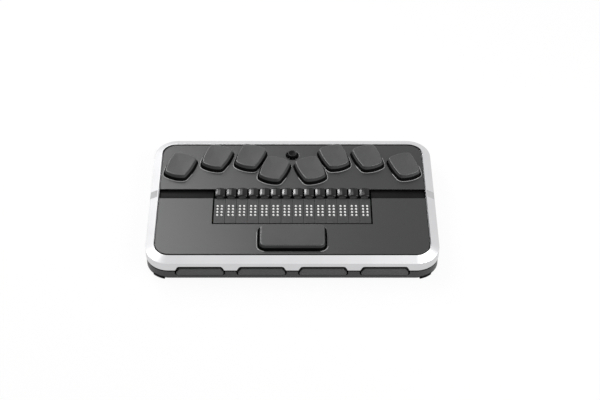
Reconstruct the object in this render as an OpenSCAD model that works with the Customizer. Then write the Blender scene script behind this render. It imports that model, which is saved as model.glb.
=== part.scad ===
// Refreshable braille display: a row of reading cells with routing keys, an eight-dot keyboard,
// a space bar, thumb keys in the front edge and a small joystick. Sizes are in millimetres.
// The origin is under the middle of the case, on the surface that the feet stand on.
// +X points right, +Y points away from the reader and +Z points up.

/* [Case] */
// Height of the feet below the tray
foot_h = 0.9; // [0.5:0.1:2]
// Width of a foot, outwards from its corner's centre
foot_w = 2.3; // [1.6:0.1:2.4]
// Height of a foot's lip on the tray's wall
foot_rise = 1.6; // [1:0.1:1.6]
// Thickness of that lip
foot_lip = 1.2; // [0.8:0.1:1.4]
// Angle that a foot covers around its corner
foot_arc = 32; // [24:2:44]
// Turn of a foot's middle from the corner's diagonal towards the front or rear edge
foot_turn = 17; // [0:1:22]
// Height of the tray
tray_h = 7.1; // [6.8:0.1:9]
// Wall of the tray
tray_wall = 2; // [1.8:0.1:2.5]
// Set-back of the tray from the frame's outer face
tray_inset = 0.3; // [0.1:0.1:0.6]
// Height of the dark seam between the tray and the frame
seam_h = 1.2; // [0.3:0.1:1.4]
// Depth of that seam
seam_d = 1; // [0.4:0.1:1.1]
// Undercut along the tray's lower edge
tray_chamfer = 0.8; // [0.5:0.1:1.4]
// Thickness of the tray's floor
floor_t = 1.6; // [1.2:0.1:2]
// Height of the frame
frame_h = 7.6; // [7:0.1:9]
// Width of the frame's band around the plate
frame_w = 5.4; // [4.6:0.1:7]
// Wall of the frame below its ledge
frame_wall = 2.8; // [2.2:0.1:3.4]
// Drop of the band from its inner lip to its outer edge
crown_drop = 2.2; // [1:0.1:3]
// Flat part of the band beside the plate
lip_flat = 0.8; // [0.4:0.1:1.4]
// Outer corner radius of the case
corner_r = 13.7; // [11:0.1:16]
// Width of the ledge that carries the plate
ledge_w = 1; // [0.6:0.1:1.4]
// Thickness of that ledge
ledge_t = 1.4; // [1:0.1:1.6]
// Radius of the screw lugs in the corners
lug_r = 3.2; // [2.6:0.1:3.6]
// Diameter of a case screw's shank
screw_d = 1.9; // [1.5:0.1:2.4]
// Diameter of a case screw's head
screw_head_d = 3.8; // [3.2:0.1:4.4]
// Height of a case screw's head
screw_head_h = 1.2; // [0.8:0.1:1.4]
// Width of the grey inserts in the frame's sides
insert_w = 7; // [4:0.5:10]
// Part of the frame that is left inside an insert
insert_lip = 0.8; // [0.5:0.1:1.2]
// Part of the frame that is left below an insert
insert_sill = 2; // [1.2:0.1:3]

/* [Top plate] */
// Thickness of the plate
plate_t = 1.8; // [1.5:0.1:2.4]
// How far the plate lies below the frame's lip
plate_sink = 0.2; // [0:0.1:0.6]
// Gap between the plate and the frame
plate_gap = 0.4; // [0.2:0.05:0.5]
// Plate in front of the space bar
front_margin = 3.5; // [2.5:0.1:8]
// Plate behind the rearmost dot keys
rear_margin = 1.5; // [1.2:0.1:6]
// Plate outside the outermost dot keys
side_margin = 1; // [0.5:0.1:6]

/* [Braille cells] */
// Number of cells
cells = 14; // [8:2:18]
// Distance from cell to cell
cell_pitch = 6.42; // [6.3:0.01:6.6]
// Seam between two caps
cap_seam = 0.12; // [0.08:0.01:0.2]
// Length of a cap
cell_len = 20; // [18:0.5:24]
// Thickness of a cap
cap_t = 1.5; // [1.2:0.1:2]
// How far the caps lie below the plate
cap_sink = 0.4; // [0.2:0.1:1]
// Gap between the caps and the window's edge
window_gap = 0.8; // [0.3:0.1:1.2]
// Gap in front of the row of cells
window_front_gap = 1; // [0.3:0.1:1.4]
// Distance from dot to dot
dot_pitch = 2.45; // [2.3:0.01:2.5]
// Diameter of a pin
dot_d = 1.3; // [1.2:0.05:1.5]
// Height of a raised pin above its cap
dot_rise = 0.75; // [0.5:0.05:0.9]
// Travel of a pin
dot_travel = 0.7; // [0.5:0.05:0.8]
// Thickness of a reed
reed_t = 0.5; // [0.4:0.05:0.6]
// Width of a reed
reed_w = 2.4; // [2:0.05:2.5]
// Length of the block that clamps the reeds
clamp_len = 6; // [4:0.5:8]
// Distance from the last pin to that block
reed_reach = 31; // [24:0.5:33]

/* [Routing keys] */
// Width of the groove across the plate
groove_w = 7.5; // [6:0.1:9]
// Depth of that groove
groove_d = 1.5; // [0.8:0.1:1.6]
// Width of a routing key
routing_w = 5.7; // [4.8:0.1:6]
// Radius of a routing key's crown
routing_crown_r = 3.6; // [3.2:0.1:3.8]
// Gap between a routing key and the reading caps
routing_front_gap = 0.6; // [0.2:0.1:0.8]
// Height of a routing key above the plate
routing_rise = 1.7; // [1.2:0.1:2.2]
// Depth of a routing key below the plate
routing_drop = 2.8; // [2.6:0.1:3.2]
// Travel of a routing key
routing_travel = 0.6; // [0.3:0.05:0.7]
// Diameter of a routing key's two stems
routing_stem_d = 1.6; // [1.2:0.1:2]

/* [Space bar] */
// Width of the space bar
bar_w = 37.2; // [34:0.2:48]
// Depth of the space bar, front to rear
bar_d = 17.6; // [15:0.2:22]
// Corner radius of the space bar
bar_r = 3.2; // [2.4:0.1:4.5]
// Height of the space bar above the plate
bar_rise = 3.4; // [2.6:0.1:4.2]
// Plate between the space bar and the cells
bar_gap = 3.5; // [2.5:0.1:6]
// Distance of its switches from the middle
bar_switch_x = 12; // [9:0.5:13]

/* [Dot keys] */
// Width of a key at its front
key_front_w = 14.2; // [12.6:0.1:14.6]
// Width of a key at its rear
key_rear_w = 15.6; // [14:0.1:16]
// Length of a key
key_len = 19; // [17:0.1:20]
// Corner radius of a key
key_r = 3; // [2.6:0.1:4]
// Swell of a key's long sides
key_side_swell = 0.5; // [0.2:0.1:0.6]
// Swell of a key's ends
key_end_swell = 0.7; // [0.3:0.1:0.9]
// Lean of the keys towards the middle
key_lean = 20; // [16:1:24]
// Height of a key above the plate
key_rise = 3.6; // [2.8:0.1:4.4]
// How much narrower a key is at its top, each side
key_taper = 0.8; // [0.4:0.1:1.2]
// Rounding of a key's upper edge
key_edge = 0.5; // [0.3:0.1:0.7]
// Depth of the finger dish
dish_depth = 0.45; // [0.2:0.05:0.6]
// Depth of a key's skirt below the plate
key_skirt = 2.2; // [1.8:0.1:2.4]
// Wall of a key
key_wall = 1.6; // [1.2:0.1:2]
// Thickness of a key's roof
roof_t = 3; // [2.4:0.1:3.2]
// Travel of a key and of the space bar
key_travel = 1.8; // [1.2:0.1:2]
// Plate between the groove and the first keys
key_setback = 3.4; // [2.5:0.1:6]
// Index keys' distance from the middle
index_x = 10.8; // [10.8:0.1:13]
// Further step out to the middle-finger keys
middle_step = 14.2; // [14.2:0.1:18]
// Further step out to the ring-finger keys
ring_step = 19.8; // [19.6:0.1:24]
// Further step out to the little-finger keys
little_step = 21.3; // [20.8:0.1:25]
// Middle-finger keys' set-back behind the index keys
middle_dy = 10.8; // [9.6:0.1:12]
// Ring-finger keys' set-back behind the index keys
ring_dy = 10.4; // [9:0.1:12]
// Little-finger keys' set-back behind the index keys
little_dy = 3.1; // [1:0.1:4]
// Diameter of a key's stem
stem_d = 3; // [2.4:0.1:3.4]
// Width of a switch housing
switch_w = 6; // [5:0.1:7]
// How deep a stem sits in its switch
stem_in = 1; // [0.6:0.1:1.4]
// Wire of a return spring
wire_d = 0.35; // [0.25:0.05:0.4]
// Turns of a return spring
spring_turns = 3; // [2:1:3]

/* [Thumb keys] */
// Width of a thumb key
thumb_w = 26.3; // [22:0.1:27.6]
// Width of a thumb key along its top edge
thumb_top_w = 22.7; // [18:0.1:24]
// Height of a thumb key
thumb_h = 5.0; // [4.6:0.1:5.1]
// Extra gap along the top edge of a thumb key
thumb_top_gap = 0.5; // [0.1:0.1:0.6]
// Height of its slanted ends
thumb_slant = 2.8; // [1.5:0.1:3.5]
// Corner radius of a thumb key
thumb_r = 0.9; // [0.5:0.1:1.2]
// Height of a thumb key above the tray's underside
thumb_lift = 3.7; // [3.6:0.1:4.2]
// Distance of the inner thumb keys from the middle
thumb_x = 17.15; // [16.5:0.05:20]
// Distance from an inner to an outer thumb key
thumb_pitch = 34.35; // [33.5:0.05:38]
// Travel of a thumb key
thumb_travel = 1; // [0.6:0.1:1.2]
// Diameter of a thumb key's stem
thumb_stem_d = 2.4; // [1.8:0.1:2.8]

/* [Joystick] */
// Diameter of the nub
nub_d = 6; // [5.4:0.1:6.4]
// Height of the nub above the plate
nub_rise = 1.8; // [1.6:0.1:3]
// Diameter of the dish around the nub
nub_dish_d = 8.6; // [8.4:0.2:11]
// Depth of that dish
nub_dish_depth = 1; // [0.9:0.05:1.2]
// Distance of the joystick from the plate's rear edge
nub_inset = 9.6; // [9:0.1:11]
// Diameter of the stick under the nub
stick_d = 2; // [1.6:0.1:2.4]
// Diameter of the gimbal's trunnion pins
trunnion_d = 0.8; // [0.6:0.05:0.9]
// Outer diameter of the joystick's housing
stick_base_d = 8; // [7.6:0.1:8.4]

/* [Inside] */
// Thickness of the circuit boards
board_t = 1; // [0.8:0.1:1.2]
// Width of the bays left and right of the cells
bay_w = 32; // [28:0.5:40]
// Height of the spacers under the lower boards
board_lift = 0.6; // [0.4:0.1:0.8]
// Diameter of the posts under the key board
post_d = 3.4; // [3:0.1:3.8]
// Diameter of the locating pins on the posts
post_pin_d = 1.8; // [1.2:0.1:2]
// Length of the battery and of the main board
bay_len = 58; // [40:1:62]
// Thickness of the battery
battery_t = 4.9; // [3.5:0.1:5.2]
// Width of the socket's shell
socket_w = 9; // [8.6:0.1:9.4]
// Height of the socket's shell
socket_h = 3.2; // [2.9:0.05:3.4]
// Wall of the socket's shell
socket_wall = 0.3; // [0.2:0.05:0.4]
// Length of the socket
socket_len = 7.6; // [6.8:0.1:9]
// Distance of the socket behind the middle of the case
socket_y = 20; // [18:0.5:24]
// Length of the power button
power_len = 8; // [6:0.2:10]
// Height of the power button
power_h = 2; // [1.6:0.1:2.2]
// Distance of the power button in front of the middle of the case
power_y = 12; // [8:0.5:16]
// Travel of the power button
power_travel = 0.5; // [0.3:0.05:0.6]

/* [Fits] */
// Gap between pieces that are fixed to each other
fit_gap = 0.1; // [0.05:0.01:0.15]
// Gap around a pin, stem or screw in its bore, on the radius
bore_gap = 0.05; // [0.03:0.01:0.08]
// Gap around a dot key or the space bar in the plate
key_gap = 0.35; // [0.25:0.05:0.45]
// Gap around a thumb key in the front wall
thumb_gap = 0.9; // [0.3:0.05:0.95]
// How far a retaining lip reaches behind an edge
lip_reach = 0.8; // [0.5:0.1:0.9]
// Room that is left below a moving piece at the end of its travel
stop_gap = 0.2; // [0.1:0.05:0.3]

/* [Hidden] */
$fn = 64;
DOT_NUMBERS = [1, 2, 3, 4, 5, 6, 7, 8];
LEFT_DOTS = [1, 2, 3, 7];
RIGHT_DOTS = [4, 5, 6, 8];
THUMBS = [1, 2, 3, 4];
ROUTING = [for (n = [1 : cells]) str("routing_key_", n < 10 ? "0" : "", n)];

// Colours of the finishes
PLATE_GREY = "#6a6a6c";
KEY_GREY = "#5f5f61";
TRAY_GREY = "#4a4a4c";
CAP_GREY = "#4e4e50";
SATIN_METAL = "#dcdcde";
INSERT_GREY = "#b4b4b6";
GLOSS_BLACK = "#161618";
PIN_WHITE = "#f4f4f2";
BOARD_GREEN = "#2f5a3a";
STEEL = "#a8aaad";
REED_BRASS = "#b09a58";
RUBBER = "#262626";

// Thin slice that a rounded cap is hulled from
slice = 0.02;
// Overshoot of a cut beyond the face that it leaves through
past = 1;

// Reach of a leaning dot key from its centre
key_front_reach = key_len / 2 * cos(key_lean) + key_front_w / 2 * sin(key_lean);
key_rear_reach = key_len / 2 * cos(key_lean) + key_rear_w / 2 * sin(key_lean);
key_side_reach = key_len / 2 * sin(key_lean) + key_front_w / 2 * cos(key_lean);

// Finger order is index, middle, ring, little
finger_x = [index_x, index_x + middle_step, index_x + middle_step + ring_step,
            index_x + middle_step + ring_step + little_step];
finger_dy = [0, middle_dy, ring_dy, little_dy];

// Layout of the plate from its front edge to its rear edge
bar_from_front = front_margin + bar_d / 2;
cells_from_front = front_margin + bar_d + bar_gap + cell_len / 2;
groove_from_front = cells_from_front + cell_len / 2 + groove_w / 2;
index_from_front = groove_from_front + groove_w / 2 + key_setback + key_front_reach;
plate_d = index_from_front + max(finger_dy) + key_rear_reach + rear_margin;
cells_w = cells * cell_pitch;
plate_w = 2 * max(max(finger_x) + key_side_reach + side_margin, cells_w / 2 + bay_w);
front_y = -plate_d / 2;
rear_y = plate_d / 2;
bar_y = front_y + bar_from_front;
cell_y = front_y + cells_from_front;
groove_y = front_y + groove_from_front;
index_y = front_y + index_from_front;
nub_y = rear_y - nub_inset;
window_w = cells_w + 2 * window_gap;
window_front = cell_y - cell_len / 2 - window_front_gap;
window_rear = groove_y + groove_w / 2;
body_w = plate_w + 2 * frame_w;
body_d = plate_d + 2 * frame_w;
opening_r = corner_r - frame_w;

// Heights from the feet up
tray_z = foot_h;
floor_z = tray_z + floor_t;
split_z = tray_z + tray_h;
lip_z = split_z + frame_h;
plate_z = lip_z - plate_sink;
under_z = plate_z - plate_t;
ledge_z = under_z - ledge_t;
insert_z = split_z + insert_sill;

// Keys, their switches and their board
skirt_z = under_z - key_skirt;
board_z = skirt_z - key_travel - stop_gap;
board_under = board_z - board_t;
switch_z = board_z + key_travel + stem_in + 2 * stop_gap;
roof_z = plate_z + key_rise - roof_t;
stem_z = switch_z - stem_in;
tab_h = 1.2;
tab_w = 5;
tab_z = under_z - fit_gap - tab_h;
dish_r = key_front_w / 2 - key_taper - key_edge;
dish_ball_r = (dish_r * dish_r + dish_depth * dish_depth) / (2 * dish_depth);
bar_taper = 0.5;
bar_crown = 0.7;

// Return springs stand between a switch and a key's roof
spring_r = stem_d / 2 + wire_d + bore_gap;
spring_low = switch_z + wire_d / 2 + bore_gap;
spring_high = roof_z - wire_d / 2 - bore_gap;
RINGS_PER_TURN = 8;
WIRE_SIDES = 6;

// Cells, pins and reeds
cap_w = cell_pitch - cap_seam;
cap_z = plate_z - cap_sink;
cap_under = cap_z - cap_t;
cell_xs = [for (i = [0 : cells - 1]) (i - (cells - 1) / 2) * cell_pitch];
web_t = 0.5;
REED_LEVELS = 4;
reed_floor = dot_travel;
reed_step = (board_under - fit_gap - floor_z - reed_floor - reed_t) / REED_LEVELS;
reed_x = web_t / 2 + fit_gap + reed_w / 2;
last_row_y = cell_y + 1.5 * dot_pitch;
clamp_y = last_row_y + reed_reach;
clamp_top = board_under - 2 * fit_gap;
cap_foot = 2.6;

// Routing keys
routing_z = plate_z - routing_drop;
routing_len = groove_w - routing_front_gap - fit_gap;
routing_y = groove_y + (routing_front_gap - fit_gap) / 2;
routing_stem_y = routing_len / 2 - routing_stem_d;
guide_top = routing_z - routing_travel - fit_gap;
guide_t = 1.1;
guide_wall = 0.6;
dome_h = 0.35;
dome_d = 3;
dome_top_d = 1.8;
routing_stem_z = board_z + dome_h + routing_travel + bore_gap;

// Thumb keys in the front wall
thumb_z = tray_z + thumb_lift;
thumb_mid_z = thumb_z + (thumb_h + thumb_top_gap) / 2;
thumb_xs = [-thumb_x - thumb_pitch, -thumb_x, thumb_x, thumb_x + thumb_pitch];
thumb_front = -body_d / 2;
wall_back = thumb_front + max(frame_wall, tray_inset + tray_wall);
flange_t = 1;
thumb_back = wall_back + fit_gap + flange_t;
thumb_switch_y = thumb_back + thumb_travel + 2 * stop_gap;
thumb_switch_len = 5;
thumb_stem_len = thumb_switch_y - thumb_back + stem_in;

// Joystick gimbal
gimbal_h = 1.7;
gimbal_z = board_z + gimbal_h;
nub_top = plate_z + nub_rise;
nub_under = plate_z - fit_gap;
nub_press = 0.3;
nub_roof = 1.7;
stick_top = nub_top - nub_roof;
nub_collar_wall = 0.6;
nub_collar_drop = 0.8;
nub_collar_d = stick_d + 2 * nub_collar_wall;
nub_collar_z = plate_z - nub_collar_drop;
yoke_t = 1;
yoke_wall = 0.8;
yoke_room = 0.9;
well_room = 0.4;
well_rim = 1.2;
tilt_room = 1;
yoke_in_d = stick_d + 2 * yoke_room;
yoke_out_d = yoke_in_d + 2 * yoke_wall;
stick_well_d = yoke_out_d + 2 * well_room;
stick_base_top = gimbal_z + well_rim;
stick_hole_d = nub_collar_d + 2 * tilt_room;

// Boards and bays
lower_board_z = floor_z + board_lift;
post_room = 0.8;
bay_rim = 3;
bay_in = cells_w / 2 + post_d + 2 * post_room;
bay_out = plate_w / 2 - bay_rim;
bay_mid_x = (bay_in + bay_out) / 2;
bay_board_w = bay_out - bay_in;
bay_y = cell_y + bay_len / 2 - cell_len / 2;
post_in_x = cells_w / 2 + post_d / 2 + post_room;
post_out_x = plate_w / 2 + stop_gap;
key_board_w = 2 * (post_out_x + post_d / 2);
key_board_front = groove_y - groove_w / 2 + fit_gap;
board_rim = 2;
key_board_rear = rear_y - board_rim;
key_posts = [for (side = [-1, 1], p = [[post_in_x, groove_y], [post_in_x, key_board_rear - post_d],
             [post_out_x, groove_y], [post_out_x, index_y + post_d * 3]]) [side * p.x, p.y]];
front_board_front = thumb_back + thumb_travel + stop_gap;
front_board_gap = 5;
front_board_rear = cell_y - cell_len / 2 - front_board_gap;
front_board_w = 2 * (thumb_x + thumb_pitch) + switch_w * 2;
front_posts = [for (sx = [-1, 1], y = [front_board_front + post_d, front_board_rear - post_d])
               [sx * (front_board_w / 2 - post_d * 2.4), y]];
main_posts = [for (sx = [-1, 1], sy = [-1, 1])
              [bay_mid_x + sx * (bay_board_w / 2 - post_d), bay_y + sy * (bay_len / 2 - post_d)]];

// Side wall, socket and power button
side_out = body_w / 2 - tray_inset;
side_in = side_out - tray_wall;
lower_board_top = lower_board_z + board_t;
socket_mid_z = lower_board_top + socket_h / 2;
power_mid_z = lower_board_top + power_h / 2 + fit_gap + lip_reach;
power_flange_x = side_in - fit_gap;
power_switch_x = power_flange_x - flange_t - power_travel - 2 * stop_gap;
power_stem_d = 1.6;
power_switch_len = 3.8;

// Corner lugs and feet
lug_sink = 0.7;
lug_off = (corner_r - frame_wall - lug_r + lug_sink) * cos(45);
lugs = [for (sx = [-1, 1], sy = [-1, 1])
        [sx * (body_w / 2 - corner_r + lug_off), sy * (body_d / 2 - corner_r + lug_off)]];
foot_rim = 0.4;
foot_out = corner_r - tray_inset - fit_gap;
foot_in = foot_out - foot_w;
foot_step = foot_out - foot_lip;
foot_side_gap = 0.5;

// Plain helpers

module rounded_rect(w, d, r) {
    square([w - 2 * r, d], center = true);
    square([w, d - 2 * r], center = true);
    for (sx = [-1, 1], sy = [-1, 1]) translate([sx * (w / 2 - r), sy * (d / 2 - r)]) circle(r);
}

module block(x0, x1, y0, y1, z0, z1) {
    translate([x0, y0, z0]) cube([x1 - x0, y1 - y0, z1 - z0]);
}

// Profile swept round a rounded rectangle; the profile's x points outward
module ring(w, d, r) {
    for (k = [0 : 3]) {
        out = k % 2 == 0 ? w : d;
        along = k % 2 == 0 ? d : w;
        rotate(90 * k) {
            translate([out / 2, 0, 0]) rotate([90, 0, 0])
                linear_extrude(height = along - 2 * r, center = true) children();
            translate([out / 2 - r, along / 2 - r, 0]) rotate_extrude(angle = 90)
                translate([r, 0]) children();
        }
    }
}

// Outline drawn in the YZ plane and run along X from x0 to x1
module along_x(x0, x1) {
    translate([x0, 0, 0]) rotate([90, 0, 90]) linear_extrude(height = x1 - x0) children();
}

// Outline drawn in the XZ plane and run along Y from y0 to y1
module along_y(y0, y1) {
    translate([0, y1, 0]) rotate([90, 0, 0]) linear_extrude(height = y1 - y0) children();
}

// Unit vector
function unit(v) = v / norm(v);

// Corner p between a and b, rounded with radius r
function round_corner(a, p, b, r, steps) =
    let (u = unit(a - p), v = unit(b - p), half = acos(u * v) / 2, mid = unit(u + v),
         c = p + mid * r / sin(half), start = p + u * r / tan(half) - c, stop = p + v * r / tan(half) - c,
         a0 = atan2(start.y, start.x), turn = atan2(start.x * stop.y - start.y * stop.x, start * stop))
    [for (i = [0 : steps]) c + r * [cos(a0 + turn * i / steps), sin(a0 + turn * i / steps)]];

function round_outline(points, r, steps) =
    let (n = len(points))
    [for (i = [0 : n - 1],
          q = round_corner(points[(i + n - 1) % n], points[i], points[(i + 1) % n], r, steps)) q];

// Outline of a dot key: four corner arcs joined by four shallow arcs, grown by grow on every side
function key_corners() =
    [[-key_front_w / 2 + key_r, -key_len / 2 + key_r], [key_front_w / 2 - key_r, -key_len / 2 + key_r],
     [key_rear_w / 2 - key_r, key_len / 2 - key_r], [-key_rear_w / 2 + key_r, key_len / 2 - key_r]];

// One swollen side as centre, radius and its first and last angle
function key_side(k) =
    let (c = key_corners(), a = c[k], b = c[(k + 1) % 4], half = norm(b - a) / 2,
         swell = k % 2 == 0 ? key_end_swell : key_side_swell, r = (half * half + swell * swell) / (2 * swell),
         d = unit(b - a), out = [d.y, -d.x], facing = atan2(out.y, out.x), open = asin(half / r))
    [(a + b) / 2 - out * (r - swell), r, facing - open, facing + open];

SIDE_STEPS = 4;
CORNER_STEPS = 5;

function key_outline(grow) =
    [for (k = [0 : 3])
        let (s = key_side(k), t = key_side((k + 1) % 4), c = key_corners()[(k + 1) % 4],
             turn = (t[2] - s[3] + 720) % 360, r = key_r + grow)
        for (i = [0 : SIDE_STEPS + CORNER_STEPS - 1])
            let (angle = i <= SIDE_STEPS ? s[2] + (s[3] - s[2]) * i / SIDE_STEPS
                                         : s[3] + turn * (i - SIDE_STEPS) / CORNER_STEPS)
            i <= SIDE_STEPS ? s[0] + (s[1] + r) * [cos(angle), sin(angle)]
                            : c + r * [cos(angle), sin(angle)]];

// Place of the dot key that writes dot n
module at_dot_key(n) {
    left = len(search(n, LEFT_DOTS)) > 0;
    finger = search(n, left ? LEFT_DOTS : RIGHT_DOTS)[0];
    mirror([left ? 0 : 1, 0, 0]) translate([-finger_x[finger], index_y + finger_dy[finger], 0])
        rotate(-key_lean) children();
}

module key_prism(n, grow, z0, z1) {
    translate([0, 0, z0]) linear_extrude(height = z1 - z0) at_dot_key(n) polygon(key_outline(grow));
}

module thumb_outline(grow, lift) {
    w = thumb_w / 2 + grow;
    t = thumb_top_w / 2 + grow;
    shoulder = thumb_z + thumb_h - thumb_slant + lift;
    top = thumb_z + thumb_h + grow + lift;
    bottom = thumb_z - grow;
    polygon(round_outline([[-w, bottom], [w, bottom], [w, shoulder], [t, top], [-t, top], [-w, shoulder]],
                          thumb_r + grow, CORNER_STEPS));
}

module thumb_holes() {
    for (x = thumb_xs)
        along_y(thumb_front - past, wall_back + past)
            translate([x, 0]) thumb_outline(thumb_gap, thumb_top_gap);
}

// Post with a locating pin that reaches almost through the board on top of it
module post(p, top) {
    translate([p.x, p.y, floor_z - slice]) cylinder(d = post_d, h = top - floor_z + slice);
    translate([p.x, p.y, top - slice]) cylinder(d = post_pin_d, h = board_t - fit_gap + slice);
}

module post_holes(posts) {
    for (p = posts) translate(p) circle(d = post_pin_d + 2 * bore_gap);
}

// Case

module tray_profile() {
    polygon([[0, tray_z], [tray_wall - tray_chamfer, tray_z], [tray_wall, tray_z + tray_chamfer],
             [tray_wall, split_z - seam_h], [tray_wall - seam_d, split_z - seam_h],
             [tray_wall - seam_d, split_z], [0, split_z]]);
}

// Middle of each corner's foot, as a direction from the corner's centre
module at_feet() {
    for (sx = [0, 1], sy = [0, 1]) mirror([sx, 0, 0]) mirror([0, sy, 0])
        translate([body_w / 2 - corner_r, body_d / 2 - corner_r, 0]) rotate(45 + foot_turn) children();
}

module base_tray() {
    inner_r = corner_r - tray_inset - tray_wall;
    sole = tray_wall - tray_chamfer;
    color(TRAY_GREY) difference() {
        union() {
            ring(2 * side_in, body_d - 2 * (tray_inset + tray_wall), inner_r) tray_profile();
            translate([0, 0, tray_z]) linear_extrude(height = floor_t)
                rounded_rect(2 * (side_in + sole), body_d - 2 * (tray_inset + tray_wall - sole),
                             inner_r + sole);
            for (p = lugs) translate([p.x, p.y, tray_z]) cylinder(r = lug_r, h = tray_h);
            for (p = key_posts) post(p, board_under);
            for (p = concat(front_posts, main_posts)) post(p, lower_board_z);
        }
        for (p = lugs) translate([p.x, p.y, tray_z]) {
            translate([0, 0, -past]) cylinder(d = screw_d + 4 * bore_gap, h = tray_h + 2 * past);
            translate([0, 0, -past]) cylinder(d = screw_head_d + 4 * bore_gap, h = floor_t + past);
        }
        at_feet() rotate(-foot_arc / 2 - foot_side_gap) rotate_extrude(angle = foot_arc + 2 * foot_side_gap)
            translate([foot_step - fit_gap, tray_z - past])
                square([foot_lip + fit_gap + past, foot_rise + fit_gap + past]);
        thumb_holes();
        along_x(side_in - past, side_out + past) translate([socket_y, socket_mid_z])
            rounded_rect(socket_w + 4 * fit_gap, socket_h + 4 * fit_gap, socket_h / 2);
        along_x(side_in - past, side_out + past) translate([-power_y, power_mid_z])
            rounded_rect(power_len + 2 * fit_gap, power_h + 2 * fit_gap, power_h / 2);
    }
}

// Cross-section of the frame's band without its ledge
module band_profile() {
    difference() {
        polygon([[0, split_z], [frame_w, split_z], [frame_w, lip_z - crown_drop],
                 [lip_flat, lip_z], [0, lip_z]]);
        translate([-past, split_z - past])
            square([frame_w - frame_wall + past, ledge_z - split_z + past]);
    }
}

module frame_profile() {
    band_profile();
    translate([-ledge_w, ledge_z]) square([ledge_w + lip_flat, ledge_t]);
}

module bezel_frame() {
    color(SATIN_METAL) difference() {
        union() {
            ring(plate_w, plate_d, opening_r) frame_profile();
            for (p = lugs) translate([p.x, p.y, split_z]) cylinder(r = lug_r, h = under_z - split_z);
        }
        for (p = lugs) translate([p.x, p.y, split_z - past])
            cylinder(d = screw_d + 2 * bore_gap, h = ledge_z - split_z + past);
        thumb_holes();
        for (side = [-1, 1]) mirror([side < 0 ? 1 : 0, 0, 0])
            block(plate_w / 2 + insert_lip - bore_gap, body_w / 2 + past,
                  groove_y - insert_w / 2 - bore_gap, groove_y + insert_w / 2 + bore_gap,
                  insert_z - bore_gap, lip_z + past);
        for (n = DOT_NUMBERS) key_prism(n, key_gap + fit_gap, split_z, under_z);
    }
}

module antenna_windows() {
    color(INSERT_GREY) for (side = [-1, 1]) mirror([side < 0 ? 1 : 0, 0, 0])
        intersection() {
            translate([plate_w / 2, 0, 0])
                along_y(groove_y - insert_w / 2, groove_y + insert_w / 2) band_profile();
            block(plate_w / 2 + insert_lip, body_w / 2 + past, groove_y - insert_w, groove_y + insert_w,
                  insert_z, lip_z + past);
        }
}

module top_plate() {
    rib_t = 1.2;
    color(PLATE_GREY) difference() {
        union() {
            translate([0, 0, under_z]) linear_extrude(height = plate_t)
                rounded_rect(plate_w - 2 * plate_gap, plate_d - 2 * plate_gap, opening_r - plate_gap);
            block(-plate_w / 2 + ledge_w + key_gap, plate_w / 2 - ledge_w - key_gap,
                  window_rear - slice, window_rear + rib_t, under_z - rib_t, under_z + slice);
            for (side = [-1, 1]) mirror([side < 0 ? 1 : 0, 0, 0])
                block(window_w / 2, plate_w / 2 - ledge_w - key_gap,
                      groove_y - groove_w / 2, window_rear, under_z - rib_t, under_z + slice);
        }
        for (n = DOT_NUMBERS) key_prism(n, key_gap, skirt_z, plate_z + past);
        translate([0, bar_y, under_z - past]) linear_extrude(height = plate_t + 2 * past)
            rounded_rect(bar_w + 2 * key_gap, bar_d + 2 * key_gap, bar_r + key_gap);
        block(-window_w / 2, window_w / 2, window_front, window_rear, skirt_z, plate_z + past);
        block(-body_w / 2, body_w / 2, groove_y - groove_w / 2, groove_y + groove_w / 2,
              plate_z - groove_d, plate_z + past);
        translate([0, nub_y, plate_z - nub_dish_depth]) cylinder(d = nub_dish_d, h = nub_dish_depth + past);
        translate([0, nub_y, under_z - past]) cylinder(d = stick_hole_d, h = plate_t + past);
    }
}

module rubber_feet() {
    seat = tray_z - fit_gap;
    lip_top = tray_z + foot_rise;
    color(RUBBER) at_feet() rotate(-foot_arc / 2) rotate_extrude(angle = foot_arc)
        polygon([[foot_in, 0], [foot_out - foot_rim, 0], [foot_out, foot_rim], [foot_out, lip_top],
                 [foot_step, lip_top], [foot_step, seat], [foot_in, seat]]);
}

module case_screws() {
    head_z = floor_z - screw_head_h;
    drive_w = 0.5;
    drive_depth = 0.6;
    tip_gap = 1;
    color(STEEL) for (p = lugs) translate([p.x, p.y, 0]) difference() {
        union() {
            translate([0, 0, head_z]) cylinder(d = screw_head_d, h = screw_head_h);
            translate([0, 0, floor_z - slice]) cylinder(d = screw_d, h = ledge_z - tip_gap - floor_z + slice);
        }
        for (turn = [0, 90]) rotate(turn) translate([-drive_w / 2, -screw_head_d / 3, head_z - past])
            cube([drive_w, screw_head_d * 2 / 3, drive_depth + past]);
    }
}

// Reading cells

module at_cells() {
    for (x = cell_xs) translate([x, cell_y, 0]) children();
}

module cell_caps() {
    color(CAP_GREY) at_cells() translate([0, 0, cap_under]) linear_extrude(height = cap_t) difference() {
        square([cap_w, cell_len - 2 * fit_gap], center = true);
        for (sx = [-1, 1], row = [-1.5 : 1.5])
            translate([sx * dot_pitch / 2, row * dot_pitch]) circle(d = dot_d + 2 * bore_gap);
    }
}

// Height of a reed's upper face; level 0 is the lowest and carries the front row of pins
function reed_top(level) = floor_z + reed_floor + level * reed_step + reed_t;

// Row 0 is the rear row of pins
function row_y(row) = cell_y + (1.5 - row) * dot_pitch;

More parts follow.
